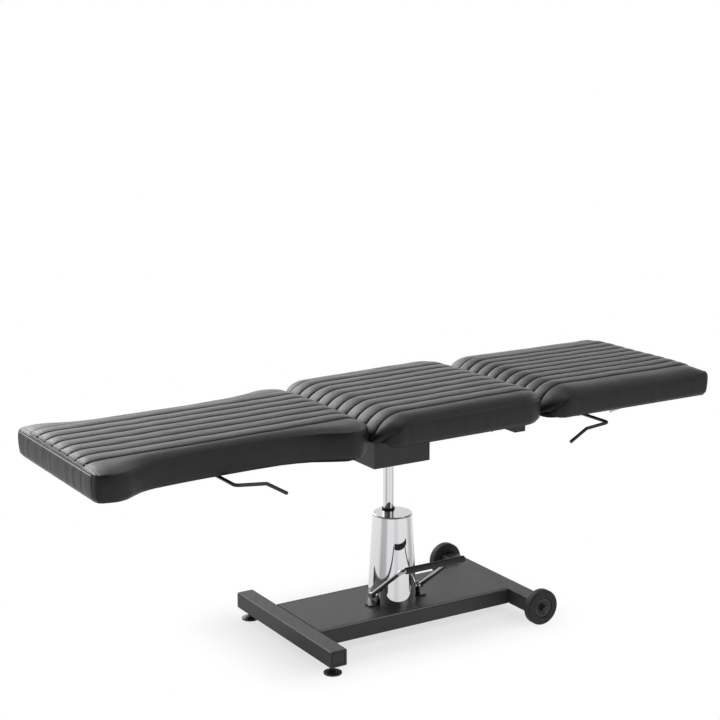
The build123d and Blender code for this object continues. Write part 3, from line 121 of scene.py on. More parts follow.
world = bpy.data.worlds.new("studio")
bpy.context.scene.world = world
world.use_nodes = True
world.node_tree.nodes.clear()
sky = Value(world.node_tree, None)
direction = sky.node("ShaderNodeTexCoord", {}, {}, "Generated")
across = direction.axis("Y")
upward = direction.axis("Z")
seen_by_camera = sky.node("ShaderNodeLightPath", {}, {}, "Is Camera Ray")
seen_in_gloss = sky.node("ShaderNodeLightPath", {}, {}, "Is Glossy Ray")
seen_through = sky.node("ShaderNodeLightPath", {}, {}, "Is Transmission Ray")
white_seen = seen_by_camera.maths("MAXIMUM", seen_by_camera, seen_through)
ceiling = upward.rise(0.25, 0.6, 1.0, 0.35)
gloss_light = (across.rise(-0.7, 0.35, 0.1, 1.2) + across.rise(0.72, 0.92, 0.0, 0.6)) * ceiling
for glow_way, low, high, brightness in (
    ((-0.02, 0.89, 0.45), 0.95, 0.99, 5.0),
    ((0.45, -0.83, 0.33), 0.93, 0.985, 1.3),
):
    towards = direction.vector_number("DOT_PRODUCT", glow_way)
    gloss_light = gloss_light + towards.rise(low, high, 0.0, brightness)
room_light = 0.4 + upward.rise(-0.2, 0.9, 0.0, 0.3)
strength = white_seen + (1 - white_seen) * (seen_in_gloss * gloss_light + (1 - seen_in_gloss) * room_light)
background = sky.node("ShaderNodeBackground", {}, {"Color": (1, 1, 1, 1), "Strength": strength})
world_output = world.node_tree.nodes.new("ShaderNodeOutputWorld")
world.node_tree.links.new(background.socket, world_output.inputs["Surface"])


def soft_box(name, place, aim, size, watts):
    """A large rectangular lamp that points from its place to a point on the chair."""
    lamp = bpy.data.lights.new(name, "AREA")
    lamp.shape = "RECTANGLE"
    lamp.size, lamp.size_y = size
    lamp.energy = watts
    holder = bpy.data.objects.new(name, lamp)
    holder.location = place
    holder.rotation_euler = (Vector(aim) - Vector(place)).to_track_quat("-Z", "Y").to_euler()
    bpy.context.scene.collection.objects.link(holder)


soft_box("soft_box_above", (-0.2, 0.2, 3.6), (0, 0, 0.6), (2.6, 1.6), 20)
soft_box("soft_box_behind", (-1.1, 3.0, 2.5), (-0.3, 0, 0.6), (1.5, 1.0), 26)
soft_box("soft_box_head_end", (2.2, -1.9, 3.2), (0.1, 0, 0.6), (1.5, 0.9), 16)

floor_mesh = bpy.data.meshes.new("studio_floor")
floor_mesh.from_pydata([(-30, -30, 0), (30, -30, 0), (30, 30, 0), (-30, 30, 0)], [], [(0, 1, 2, 3)])
studio_floor = bpy.data.objects.new("studio_floor", floor_mesh)
bpy.context.scene.collection.objects.link(studio_floor)
floor_paint = bpy.data.materials.new("floor_paint")
floor_paint.use_nodes = True
floor_paint.node_tree.nodes.clear()
paint = Value(floor_paint.node_tree, None)
white_wash = paint.node("ShaderNodeBsdfDiffuse", {}, {"Color": (0.92, 0.92, 0.92, 1)})
glow = paint.node("ShaderNodeEmission", {}, {"Color": (1, 1, 1, 1), "Strength": 1.0})
floor_seen = paint.node("ShaderNodeLightPath", {}, {}, "Is Camera Ray")
floor_gloss = paint.node("ShaderNodeLightPath", {}, {}, "Is Glossy Ray")
floor_place = paint.node("ShaderNodeTexCoord", {}, {}, "Object")
base_half = (0.33, 0.16, 0.0)
outside = floor_place.vector("ABSOLUTE").vector("SUBTRACT", base_half).vector("MAXIMUM", (0, 0, 0))
from_base = outside.vector_number("LENGTH")
floor_way = floor_place.vector("NORMALIZE")
streaks = 0.9
for way, low, high, drop in (
    ((-0.97, -0.242, 0.0), 0.91, 0.99, 0.55),
    ((0.951, -0.309, 0.0), 0.94, 0.99, 0.45),
    ((-0.2, -0.98, 0.0), 0.97, 0.998, 0.2),
):
    streaks = streaks - floor_way.vector_number("DOT_PRODUCT", way).rise(low, high, 0.0, drop)
glow_strength = floor_seen + (1 - floor_seen) * streaks
paint.tree.links.new(glow_strength.socket, glow.socket.node.inputs["Strength"])
floor_share = floor_seen * from_base.rise(0.0, 0.22, 0.68, 1.0) + floor_gloss * 0.62
floor_mix = paint.node("ShaderNodeMixShader", {}, {0: floor_share, 1: white_wash, 2: glow})
floor_output = floor_paint.node_tree.nodes.new("ShaderNodeOutputMaterial")
floor_paint.node_tree.links.new(floor_mix.socket, floor_output.inputs["Surface"])
floor_mesh.materials.append(floor_paint)


# Base: bars of rectangular steel tube and a deck on folded channels, all with a matt black powder
# coat of a fine texture, welded and then coated.
def new_finish(name, colour, roughness, metallic=0.0, specular=0.5):
    """A material with constants on its Principled shader, and the place on the piece's surface."""
    material = bpy.data.materials.new(name)
    material.use_nodes = True
    tree = material.node_tree
    shader = tree.nodes["Principled BSDF"]
    shader.inputs["Base Color"].default_value = (*colour, 1)
    shader.inputs["Roughness"].default_value = roughness
    shader.inputs["Metallic"].default_value = metallic
    shader.inputs["Specular IOR Level"].default_value = specular
    return material, Value(tree, None).node("ShaderNodeTexCoord", {}, {}, "Object")


def feed(material, socket, value):
    """Links a value to one socket of the material's Principled shader."""
    shader = material.node_tree.nodes["Principled BSDF"]
    material.node_tree.links.new(value.socket, shader.inputs[socket])


def speckle(place, scale, detail=2.0, roughness=0.5, distortion=0.0):
    """A noise over the surface, from 0 to 1."""
    inputs = {"Vector": place, "Scale": scale, "Detail": detail}
    inputs.update({"Roughness": roughness, "Distortion": distortion})
    return place.node("ShaderNodeTexNoise", {}, inputs)


def two_tones(factor, first, second):
    """A colour between two, by a factor. The first may be a value that varies."""
    start = first if isinstance(first, Value) else (*first, 1)
    return factor.node("ShaderNodeMix", {"data_type": "RGBA"}, {0: factor, 6: start, 7: (*second, 1)}, 2)


def relief(height, depth, strength):
    """A normal that follows a height, with the depth in metres."""
    return height.node("ShaderNodeBump", {}, {"Height": height, "Distance": depth, "Strength": strength})


def coat(material, *pieces):
    """Gives pieces of the CAD model their finish."""
    for piece in pieces:
        nodes[piece].data.materials.clear()
        nodes[piece].data.materials.append(material)


powder_coat, place = new_finish("black_powder_coat", (0.02, 0.02, 0.021), 0.5)
mottle = speckle(place, 9, 3)
orange_peel = speckle(place, 900, 1)
coat_tone = two_tones(mottle.rise(0.3, 0.7), (0.024, 0.024, 0.025), (0.033, 0.033, 0.034))
feed(powder_coat, "Base Color", coat_tone)
feed(powder_coat, "Roughness", 0.42 + mottle * 0.12)
feed(powder_coat, "Normal", relief(orange_peel, 0.0006, 0.5))

coat(
    powder_coat,
    "front_bar",
    "rear_bar",
    "rear_bar_plugs",
    "deck_side_channels",
    "seat_box",
    "seat_rails",
    "seat_rear_tube",
    "rod_socket",
    "back_hinge_plates",
    "back_frame",
    "back_lever_far_bracket",
    "legrest_spring_stud",
)

# Deck: sheet steel with its own powder coat, laid on the channels. A few millimetres in from each long
# edge, painted shade darkens the gap where the sheet is folded over, with a painted highlight on the fold
# outside it.
def band(value, start, full, fade, end):
    """A stripe: 0 before start, 1 from full to fade, and 0 again past end."""
    return value.rise(start, full) * value.rise(fade, end, 1.0, 0.0)


deck_coat, place = new_finish("deck_coat", (0.028, 0.028, 0.029), 0.46)
deck_middle_y = -0.026
deck_half = 0.116
from_edge = deck_half - abs(place.axis("Y") - deck_middle_y)
mottle = speckle(place, 7, 4)
# Painted highlight on the fold at each long edge, and painted shade in the gap just inside it.
painted_fold_highlight = from_edge.rise(0.0012, 0.0026, 1.0, 0.0)
painted_gap_shade = band(from_edge, 0.0014, 0.0028, 0.0042, 0.006)
deck_tone = two_tones(mottle.rise(0.3, 0.7), (0.022, 0.022, 0.023), (0.034, 0.034, 0.035))
deck_tone = two_tones(painted_fold_highlight, deck_tone, (0.13, 0.13, 0.132))
deck_tone = two_tones(painted_gap_shade, deck_tone, (0.002, 0.002, 0.002))
feed(deck_coat, "Base Color", deck_tone)
feed(deck_coat, "Roughness", 0.4 + mottle * 0.14 + painted_gap_shade * 0.4)
feed(deck_coat, "Normal", relief(speckle(place, 900, 1), 0.0006, 0.5))
coat(deck_coat, "deck_plate")

# End caps and foot pads: black nylon, moulded, with a faint flow texture. The caps are pressed into
# the tubes, and the pads onto the feet's stems.
black_nylon, place = new_finish("black_nylon", (0.016, 0.016, 0.017), 0.4)
flow = speckle(place, 25, 3)
pits = speckle(place, 1400, 1)
feed(black_nylon, "Base Color", two_tones(flow, (0.012, 0.012, 0.013), (0.02, 0.02, 0.021)))
feed(black_nylon, "Roughness", 0.32 + flow * 0.16)
feed(black_nylon, "Normal", relief(pits, 0.0004, 0.35))
coat(black_nylon, "front_bar_end_caps", "seat_rear_tube_caps", "near_foot_pad", "far_foot_pad")

# Wheel hubs: the same nylon, moulded in one piece that turns on the stub axle, with ring grooves
# round it, pressed in by a bump and darkened in colour with painted shade.
hub_nylon, place = new_finish("hub_nylon", (0.02, 0.02, 0.021), 0.36)
axle_place = (0.362, 0.0, 0.05)
hub_radius = place.vector("SUBTRACT", axle_place).vector("MULTIPLY", (1, 0, 1)).vector_number("LENGTH")
# Ring grooves: the bump presses them in, and their colour is darkened with painted shade.
groove_relief_and_shade = band(hub_radius, 0.0265, 0.028, 0.0285, 0.03) + band(hub_radius, 0.0155, 0.017, 0.0175, 0.019)
flow = speckle(place, 25, 3)
feed(hub_nylon, "Base Color", two_tones(groove_relief_and_shade, (0.024, 0.024, 0.025), (0.003, 0.003, 0.003)))
feed(hub_nylon, "Roughness", 0.3 + flow * 0.16 + groove_relief_and_shade * 0.3)
feed(hub_nylon, "Normal", relief(1 - groove_relief_and_shade, 0.0012, 0.8))
coat(hub_nylon, "near_wheel_hub", "far_wheel_hub")

# Tyres, the pedal's sleeve and the seals: black rubber, matt, with scuffs on the tread. Tyres and
# sleeve are stretched over the hubs and the foot bar.
black_rubber, place = new_finish("black_rubber", (0.014, 0.014, 0.014), 0.62, specular=0.45)
scuff = speckle(place, 60, 4, 0.65)
rubber_tone = two_tones(scuff.rise(0.35, 0.75), (0.011, 0.011, 0.011), (0.03, 0.03, 0.029))
feed(black_rubber, "Base Color", rubber_tone)
feed(black_rubber, "Roughness", 0.5 + scuff * 0.25)
feed(black_rubber, "Normal", relief(speckle(place, 700, 2), 0.0005, 0.4))
coat(black_rubber, "near_wheel_tyre", "far_wheel_tyre", "rod_seal", "piston_seal", "pedal_sleeve")

# Chrome: the pump cover, the lift rod and the gas springs' rods are polished steel with bright
# plating and a faint cleaning haze. The cover's lid is duller and darkened with painted shade, over a dark
# line of painted shadow under its rim.
chrome, place = new_finish("chrome", (0.82, 0.82, 0.84), 0.04, metallic=1.0)
haze = speckle(place, 14, 4, 0.6)
feed(chrome, "Roughness", haze.rise(0.45, 0.8, 0.025, 0.09))
feed(chrome, "Base Color", two_tones(haze, (0.8, 0.8, 0.82), (0.88, 0.88, 0.89)))
lid_chrome, place = new_finish("cover_chrome", (0.8, 0.8, 0.82), 0.05, metallic=1.0)
lid_haze = speckle(place, 14, 4, 0.6)
lid = place.axis("Z").rise(0.3203, 0.3209)
# Painted shadow: a dark line under the lid's rim.
painted_rim_shadow = band(place.axis("Z"), 0.3166, 0.3174, 0.3186, 0.3194)
feed(lid_chrome, "Roughness", lid_haze.rise(0.45, 0.8, 0.03, 0.09) + lid * 0.1 + painted_rim_shadow * 0.5)
# Painted shade darkens the lid's colour and blackens the line under its rim.
cover_tone = (1 - lid * 0.52) * (1 - painted_rim_shadow * 0.97)
feed(lid_chrome, "Base Color", two_tones(cover_tone, (0.0, 0.0, 0.0), (0.84, 0.84, 0.86)))
coat(lid_chrome, "pump_cover")
coat(chrome, "lift_rod", "legrest_spring_rod", "back_spring_rod")

# Pedal: its arms and the eyes of its brackets have a dark nickel plating, the brackets' feet are
# black like the deck that they are screwed to.
nickel, place = new_finish("dark_nickel", (0.3, 0.3, 0.31), 0.16, metallic=1.0)
haze = speckle(place, 40, 3, 0.6)
plated = place.axis("Z").rise(0.084, 0.088)
feed(nickel, "Metallic", plated)
feed(nickel, "Base Color", two_tones(plated * (0.75 + haze * 0.5), (0.02, 0.02, 0.021), (0.5, 0.5, 0.51)))
feed(nickel, "Roughness", 0.4 - plated * 0.26 + haze * 0.08)
coat(nickel, "pedal_brackets", "pedal_frame")

# Bolts, pins, pedal shaft, plunger and piston: zinc-plated steel, turned or stamped, bright with a
# faint crystal pattern. The legrest's arms and the back lever's bracket have the same plating.
zinc, place = new_finish("zinc_plate", (0.55, 0.56, 0.58), 0.3, metallic=1.0)
crystals = place.node("ShaderNodeTexVoronoi", {}, {"Vector": place, "Scale": 160.0}, "Color")
crystal = crystals.node("ShaderNodeRGBToBW", {}, {"Color": crystals})
feed(zinc, "Base Color", two_tones(crystal, (0.5, 0.51, 0.53), (0.66, 0.67, 0.68)))
feed(zinc, "Roughness", 0.22 + crystal * 0.16)
feed(zinc, "Normal", relief(speckle(place, 500, 2), 0.0003, 0.3))
coat(
    zinc,
    "pump_bolts",
    "pump_gland",
    "pedal_shaft",
    "pump_plunger",
    "piston",
    "back_hinge_pins",
    "back_spring_pin",
    "legrest_spring_end_pin",
    "back_spring_end_pin",
)

# Levers, wheel axles, gas spring cylinders, foot stems and nuts: steel with a smooth satin black
# enamel, baked on.
enamel, place = new_finish("black_enamel", (0.014, 0.014, 0.015), 0.28)
drift = speckle(place, 30, 2)
feed(enamel, "Base Color", two_tones(drift, (0.011, 0.011, 0.012), (0.02, 0.02, 0.021)))
feed(enamel, "Roughness", 0.22 + drift * 0.14)
feed(enamel, "Normal", relief(speckle(place, 600, 1), 0.0003, 0.25))
coat(
    enamel,
    "legrest_lever",
    "back_lever",
    "wheel_axles",
    "legrest_spring_cylinder",
    "back_spring_cylinder",
    "far_foot_stem",
    "near_foot_stem",
    "foot_nuts",
)


# Hinge of the legrest as the photograph has it, close to the box: an ear on each rail, a plated arm
# beside it and a headed pin, and the legrest's frame of square tube with a shorter first cross tube.
class Plates:
    """Flat and round metal pieces that run across the bed, gathered in one mesh."""

    def __init__(self):
        self.points = []
        self.faces = []

    def plate(self, outline, start, end):
        """A plate with an outline in X and Z, from one Y to another."""
        first = len(self.points)
        count = len(outline)
        for y in (start, end):
            self.points += [(x, y, z) for x, z in outline]
        self.faces.append([first + number for number in range(count)])
        self.faces.append([first + count + number for number in range(count)][::-1])
        for number in range(count):
            after = (number + 1) % count
            below, above = first + number, first + count + number
            self.faces.append([below, above, first + count + after, first + after])

    def block(self, x_range, y_range, z_range):
        """A box between two values on each axis."""
        (x0, x1), (z0, z1) = x_range, z_range
        self.plate([(x0, z0), (x1, z0), (x1, z1), (x0, z1)], *y_range)

    def ring(self, centre, inner, outer, start, end):
        """A round eye with its hole."""
        turns = [number * math.pi / 12 for number in range(24)]
        for this, after in zip(turns, turns[1:] + turns[:1]):
            corners = [(outer, this), (outer, after), (inner, after), (inner, this)]
            outline = [(centre[0] + r * math.cos(a), centre[1] + r * math.sin(a)) for r, a in corners]
            self.plate(outline, start, end)

    def place(self, name, material, body, replaced, slot, bevel):
        """Makes one object of what was gathered, in place of a piece of the CAD model."""
        mesh = bpy.data.meshes.new(name)
        mesh.from_pydata(self.points, [], self.faces)
        welded = bmesh.new()
        welded.from_mesh(mesh)
        bmesh.ops.recalc_face_normals(welded, faces=welded.faces)
        welded.to_mesh(mesh)
        welded.free()
        mesh.materials.append(material)
        piece = bpy.data.objects.new(name, mesh)
        bpy.context.scene.collection.objects.link(piece)
        if bevel:
            rounding = piece.modifiers.new("rounding", "BEVEL")
            rounding.width = bevel
            rounding.segments = 2
        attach(piece, body)
        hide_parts(replaced)


def disc(centre, radius, turns=32):
    """Points of a circle in X and Z."""
    angles = [number * 2 * math.pi / turns for number in range(turns)]
    return [(centre[0] + radius * math.cos(a), centre[1] + radius * math.sin(a)) for a in angles]


legrest_pivot = (-0.083, 0.575)
ear_radius = 0.014
ear_rear = legrest_pivot[0] + 0.058
ear_foot, ear_top = 0.552, 0.582
ear_turns = [math.pi / 2 + number * math.pi / 10 for number in range(11)]
ear_outline = [
    (legrest_pivot[0] + ear_radius * math.cos(a), legrest_pivot[1] + ear_radius * math.sin(a))
    for a in ear_turns
]
ear_outline += [(legrest_pivot[0], ear_foot), (ear_rear, ear_foot), (ear_rear, ear_top)]
arm_outline = [
    (-0.225, 0.557),
    (-0.225, 0.532),
    (-0.083, 0.561),
    (-0.0731, 0.5651),
    (-0.069, 0.575),
    (-0.0731, 0.5849),
    (-0.083, 0.589),
    (-0.1785, 0.557),
]
ears = Plates()
arms = Plates()
pins = Plates()
for side in (-1, 1):
    ears.plate(ear_outline, side * 0.1, side * 0.106)
    arms.plate(arm_outline, side * 0.1065, side * 0.1125)
    pins.plate(disc(legrest_pivot, 0.009), side * 0.113, side * 0.116)
ears.place("seat_hinge_ears", powder_coat, "seat", "seat_outriggers", "black_powder_coat", 0.0006)
arms.place("legrest_arms", zinc, "legrest", "legrest_hinge_arms", "zinc_steel", 0.0006)
pins.place("legrest_pins", zinc, "seat", "legrest_hinge_pins", "zinc_steel", 0.0004)

rail_z = (0.532, 0.557)
lever_x, lever_z = -0.575, 0.545
hole = 0.0055
underframe = Plates()
for side in (-1, 1):
    rail_y = sorted((side * 0.0775, side * 0.1025))
    underframe.block((-0.855, lever_x - hole), rail_y, rail_z)
    underframe.block((lever_x + hole, -0.25), rail_y, rail_z)
    underframe.block((lever_x - hole, lever_x + hole), rail_y, (rail_z[0], lever_z - hole))
    underframe.block((lever_x - hole, lever_x + hole), rail_y, (lever_z + hole, rail_z[1]))
    cheek_y = 0.13 + side * 0.0115
    underframe.block((-0.225, -0.213), (cheek_y - 0.0025, cheek_y + 0.0025), (0.5235, 0.547))
    underframe.ring((-0.203, 0.535), 0.0052, 0.012, cheek_y - 0.0025, cheek_y + 0.0025)
underframe.block((-0.25, -0.225), (-0.15, 0.15), rail_z)
underframe.block((-0.88, -0.855), (-0.11, 0.11), rail_z)
underframe.place("legrest_underframe", powder_coat, "legrest", "legrest_frame", "black_powder_coat", 0.0015)

# Bracket at the near end of the back's release lever: folded zinc-plated sheet, an eye at the rail
# and a flange under the board that ends in a small lip.
lever_axis = (0.603, 0.54)
web_outline = [
    (0.6075, 0.5315),
    (0.63, 0.54),
    (0.63, 0.582),
    (0.627, 0.582),
    (0.627, 0.5565),
    (0.593, 0.5565),
    (0.593, 0.5465),
    (0.6075, 0.5485),
]
bracket = Plates()
bracket.ring(lever_axis, 0.0051, 0.01, -0.109, -0.106)
bracket.plate(web_outline, -0.109, -0.106)
bracket.block((0.627, 0.716), (-0.182, -0.106), (0.5795, 0.582))
bracket.plate([(0.655, 0.582), (0.655, 0.549), (0.716, 0.559), (0.716, 0.582)], -0.182, -0.18)
bracket.place("back_lever_bracket", zinc, "back", "back_lever_near_bracket", "zinc_steel", 0.0004)

# Pump body: an iron casting with a rough dark skin, under the cover.
cast_skin, place = new_finish("cast_iron_skin", (0.05, 0.05, 0.052), 0.6, specular=0.4)
sand = speckle(place, 300, 3, 0.6)
feed(cast_skin, "Base Color", two_tones(sand, (0.035, 0.035, 0.037), (0.07, 0.07, 0.072)))
feed(cast_skin, "Roughness", 0.5 + sand * 0.3)
feed(cast_skin, "Normal", relief(sand, 0.0012, 0.6))
coat(cast_skin, "pump_body")

# Boards under the cushions: plywood behind a black lining cloth, stapled on from below, with the
# cloth's weave and the grain under it.
plywood, place = new_finish("lined_plywood", (0.012, 0.012, 0.012), 0.75, specular=0.25)
grain = speckle(place.vector("MULTIPLY", (1.0, 14.0, 1.0)), 12, 5, 0.6, 0.6)
weave = place.node("ShaderNodeTexBrick", {}, {"Vector": place, "Scale": 320.0, "Mortar Size": 0.03}, "Fac")
lining_tone = two_tones(grain * 0.6 + weave * 0.4, (0.008, 0.008, 0.008), (0.022, 0.022, 0.022))
feed(plywood, "Base Color", lining_tone)
feed(plywood, "Roughness", 0.65 + grain * 0.2)
feed(plywood, "Normal", relief(grain * 0.5 + weave, 0.0005, 0.4))
coat(plywood, "seat_board", "back_board", "legrest_board")


# Seat cushion: foam under a black synthetic leather cover. The top is sewn in channels along the
# bed and runs down over the rolled front end. A boxing strip goes round the sides and the rear.
def channel_leather(name, lines, boxing_top, crease_depth):
    """Black leather with puckers along the seam lines and upright creases in the boxing."""
    line_spacing = lines[1] - lines[0]
    last_line = lines[-1]
    material, place = new_finish(name, (0.012, 0.012, 0.013), 0.34, specular=0.38)
    y = place.axis("Y")
    z = place.axis("Z")
    pores = {"Vector": place, "Scale": 620.0}
    cells = place.node("ShaderNodeTexVoronoi", {"feature": "DISTANCE_TO_EDGE"}, pores)
    fine = speckle(place, 240, 3, 0.6)
    drift = speckle(place, 7, 3)
    from_line = place.maths("PINGPONG", y + line_spacing / 2, line_spacing / 2)
    on_top = abs(y).rise(last_line, last_line + 0.012, 1.0, 0.0)
    near_line = from_line.rise(0.0, 0.011, 1.0, 0.0) * on_top
    in_line = from_line.rise(0.0004, 0.0022, 1.0, 0.0) * on_top * z.rise(boxing_top, boxing_top + 0.004)
    puckers = speckle(place.vector("MULTIPLY", (1.0, 0.28, 0.28)), 130, 2, 0.5)
    below_seam = z.rise(boxing_top - 0.045, boxing_top, 0.25, 1.0)
    below_seam = below_seam * z.rise(boxing_top, boxing_top + 0.004, 1.0, 0.0)
    creases = speckle(place.vector("MULTIPLY", (1.0, 1.0, 0.45)), 26, 3, 0.55)
    grain = cells.rise(0.0, 0.18) * 0.16 + fine * 0.25
    height = grain + puckers * near_line * 1.5 + creases * below_seam * crease_depth
    feed(material, "Base Color", two_tones(drift, (0.007, 0.007, 0.008), (0.014, 0.014, 0.015)))
    feed(material, "Roughness", 0.27 + drift * 0.1 + fine * 0.08 + in_line * 0.5)
    feed(material, "Normal", relief(height, 0.0011, 0.55))
    return material


def ease(value, low, high):
    """From 0 to 1, smoothly, as the value goes from low to high."""
    t = np.clip((np.asarray(value, float) - low) / (high - low), 0, 1)
    return t * t * (3 - 2 * t)


def crest(t):
    """Height of the cover over its seam, from 0 at the seam to 1 where the border ends."""
    return 1 - (1 - np.clip(t, 0, 1)) ** 3


def uneven(x, y, z, scale, amount):
    """Smooth unevenness of the foam at a point, in metres."""
    return amount * noise.noise(Vector((x * scale, y * scale, z * scale)))


class Cushion:
    """The cover of one cushion, worked out from stations along it and columns across it."""

    border_steps = [0, 0.03, 0.08, 0.15, 0.24, 0.34, 0.45, 0.56, 0.67, 0.78, 0.88, 0.95]
    channel_steps = [0, 0.02, 0.05, 0.1, 0.18, 0.3, 0.42, 0.5, 0.58, 0.7, 0.82, 0.9, 0.95, 0.98]
    box_steps = [0, 0.02, 0.045, 0.09, 0.16, 0.26, 0.38, 0.5, 0.62, 0.74, 0.84, 0.92, 0.97, 1]
    fold_pitch = 0.0085

    def __init__(self, name, lines, inside_z, seam_drop, puff, seed):
        self.name = name
        self.lines = lines
        self.inside_z = inside_z
        self.seam_drop = seam_drop
        self.puff = puff
        self.seed = seed
        self.columns = [(lines[0], -(1 - step), 0.0) for step in self.border_steps]
        for start, end in zip(lines[:-1], lines[1:]):
            self.columns += [(start + share * (end - start), 0.0, share) for share in self.channel_steps]
        self.columns.append((lines[-1], 0.0, 0.0))
        self.columns += [(lines[-1], 1 - step, 0.0) for step in self.border_steps[::-1]]

    def row(self, station):
        """The points of the cover across the bed at one station.

        A station is the place in X and Z, the way out of the cover in X and Z, the half width of
        the plan, the underside, how far the cover has risen from the end seam, from 0 to 1, and the
        lean to the far side. The outer channels bend in where a round corner leaves less width.
        """
        x, z, out_x, out_z, half, _, risen, lean = station
        points = []
        last = abs(self.lines[0])
        inside = half - 0.006
        bend = 2 * inside - last
        for line_y, border, share in self.columns:
            if last > inside and abs(line_y) > bend:
                line_y = math.copysign((abs(line_y) + bend) / 2, line_y)
            y = line_y + math.copysign((half - abs(line_y)) * abs(border), line_y)
            side_risen = float(crest(1 - abs(border))) if border else 1.0
            fall = self.seam_drop * (1 - side_risen * risen)
            width = abs(self.lines[1] - self.lines[0])
            from_line = min(share, 1 - share) * width
            swell = (1 - abs(2 * share - 1) ** 3.2) * self.puff if not border else 0.0
            crease = 0.0026 * math.exp(-((from_line / 0.0016) ** 2)) if not border else 0.0
            if 0 < abs(border) < 0.2:
                edge = abs(border) * (half - abs(line_y))
                crease = 0.0026 * math.exp(-((edge / 0.0016) ** 2))
            crown = 0.003 * max(0.0, 1 - (y / half) ** 2)
            end_fade = float(ease(risen, 0.0, 0.35))
            lift = (swell - crease + crown + uneven(x, y, self.seed, 14, 0.0011)) * end_fade - fall
            points.append((x + out_x * lift, y, z + out_z * lift - lean * y))
        return points

    def build(self, stations, corners):
        """The closed mesh: the cover, the boxing under its edge and the underside.

        The corners are the places in X and Y where the boxing is gathered in small folds.
        """
        rows = np.array([self.row(station) for station in stations])
        count_x, count_y = rows.shape[:2]
        unders = [station[5] for station in stations]
        near = [(i, 0) for i in range(count_x - 1)]
        rear = [(count_x - 1, j) for j in range(count_y - 1)]
        far = [(i, count_y - 1) for i in range(count_x - 1, 0, -1)]
        front = [(0, j) for j in range(count_y - 1, 0, -1)]
        loop = near + rear + far + front
        edge = np.array([rows[i, j] for i, j in loop])
        floor = np.array([unders[i] for i, j in loop])
        ahead = np.roll(edge, -1, axis=0)
        step = np.linalg.norm((ahead - edge)[:, :2], axis=1)
        travel = np.concatenate([[0], np.cumsum(step)[:-1]])
        along = np.roll(edge, -2, axis=0) - np.roll(edge, 2, axis=0)
        out = np.stack([along[:, 1], -along[:, 0]], 1)
        out /= np.maximum(np.linalg.norm(out, axis=1), 1e-9)[:, None]
        for _ in range(3):
            out = (np.roll(out, 1, axis=0) + out * 2 + np.roll(out, -1, axis=0)) / 4
        at_corner = np.zeros(len(loop))
        for corner_x, corner_y in corners:
            away = np.hypot(edge[:, 0] - corner_x, edge[:, 1] - corner_y)
            at_corner = np.maximum(at_corner, 1 - ease(away, 0.012, 0.042))
        gathers = np.sin(travel / self.fold_pitch * 2 * math.pi) * at_corner
        tall = np.maximum(edge[:, 2] - floor, 0.0015)
        size = np.clip(tall / 0.06, 0, 1)
        rings = []
        for share in self.box_steps[1:]:
            depth = share * tall
            swell = 0.005 * math.sin(math.pi * share**0.75) ** 0.8
            groove = 0.0017 * np.exp(-(((depth - 0.0012) / 0.0011) ** 2))
            tuck = 0.006 * float(ease(share, 0.8, 1.0)) ** 1.6
            creases = np.array(
                [
                    noise.noise(Vector((length * 55, depth_here * 9, self.seed)))
                    + 0.5 * noise.noise(Vector((length * 130, depth_here * 14, self.seed + 3)))
                    for length, depth_here in zip(travel, depth)
                ]
            )
            held = float(ease(share, 0.0, 0.12)) * float(1 - ease(share, 0.45, 1.0) * 0.6)
            folds = 0.0012 * gathers * (1 - float(ease(share, 0.1, 0.5)))
            offset = (swell + creases * 0.0009 * held + folds - tuck) * size - groove * size
            ring = edge.copy()
            ring[:, 2] = edge[:, 2] - depth
            ring[:, :2] += out * offset[:, None]
            rings.append(ring)
        for number, (i, j) in enumerate(loop):
            if at_corner[number] > 0.02 and j in (0, count_y - 1):
                inward = 1 if j == 0 else -1
                for reach in range(1, 8):
                    rows[i, j + inward * reach, 2] += 0.0011 * (1 - reach / 8) * gathers[number]
        points = [tuple(p) for p in rows.reshape(-1, 3)]
        index = {(i, j): i * count_y + j for i in range(count_x) for j in range(count_y)}
        faces = []
        for i in range(count_x - 1):
            for j in range(count_y - 1):
                faces.append((index[i, j], index[i + 1, j], index[i + 1, j + 1], index[i, j + 1]))
        above = [index[place] for place in loop]
        for ring in rings:
            below = list(range(len(points), len(points) + len(loop)))
            points += [tuple(p) for p in ring]
            for k in range(len(loop)):
                after = (k + 1) % len(loop)
                faces.append((above[k], below[k], below[after], above[after]))
            above = below
        inner = rings[-1].copy()
        inner[:, :2] -= out * 0.01
        inner[:, 2] = np.maximum(floor, self.inside_z)
        behind = list(range(len(points), len(points) + len(loop)))
        points += [tuple(p) for p in inner]
        for k in range(len(loop)):
            after = (k + 1) % len(loop)
            faces.append((above[k], behind[k], behind[after], above[after]))
        foot = dict(zip(loop, behind))
        for i in range(1, count_x - 2):
            faces.append((foot[i, 0], foot[i, count_y - 1], foot[i + 1, count_y - 1], foot[i + 1, 0]))
        faces.append([foot[0, j] for j in range(count_y)] + [foot[1, count_y - 1], foot[1, 0]])
        faces.append(
            [foot[count_x - 2, 0], foot[count_x - 2, count_y - 1]]
            + [foot[count_x - 1, j] for j in range(count_y - 1, -1, -1)]
        )
        mesh = bpy.data.meshes.new(self.name)
        mesh.from_pydata(points, [], faces)
        mesh.polygons.foreach_set("use_smooth", [True] * len(mesh.polygons))
        mesh.update()
        piece = bpy.data.objects.new(self.name, mesh)
        bpy.context.scene.collection.objects.link(piece)
        self.piece = piece
        self.rows = rows
        self.rings = rings
        self.edge_out = out
        self.loop = loop

    def boxing_row(self, ring_number, wanted):
        """Points along a ring of the boxing, where wanted says yes to a place in the loop."""
        ring = self.rings[ring_number]
        chosen = [number for number, (i, j) in enumerate(self.loop) if wanted(i, j)]
        return [ring[number] + 0.0002 * np.array([*self.edge_out[number], 0.0]) for number in chosen]


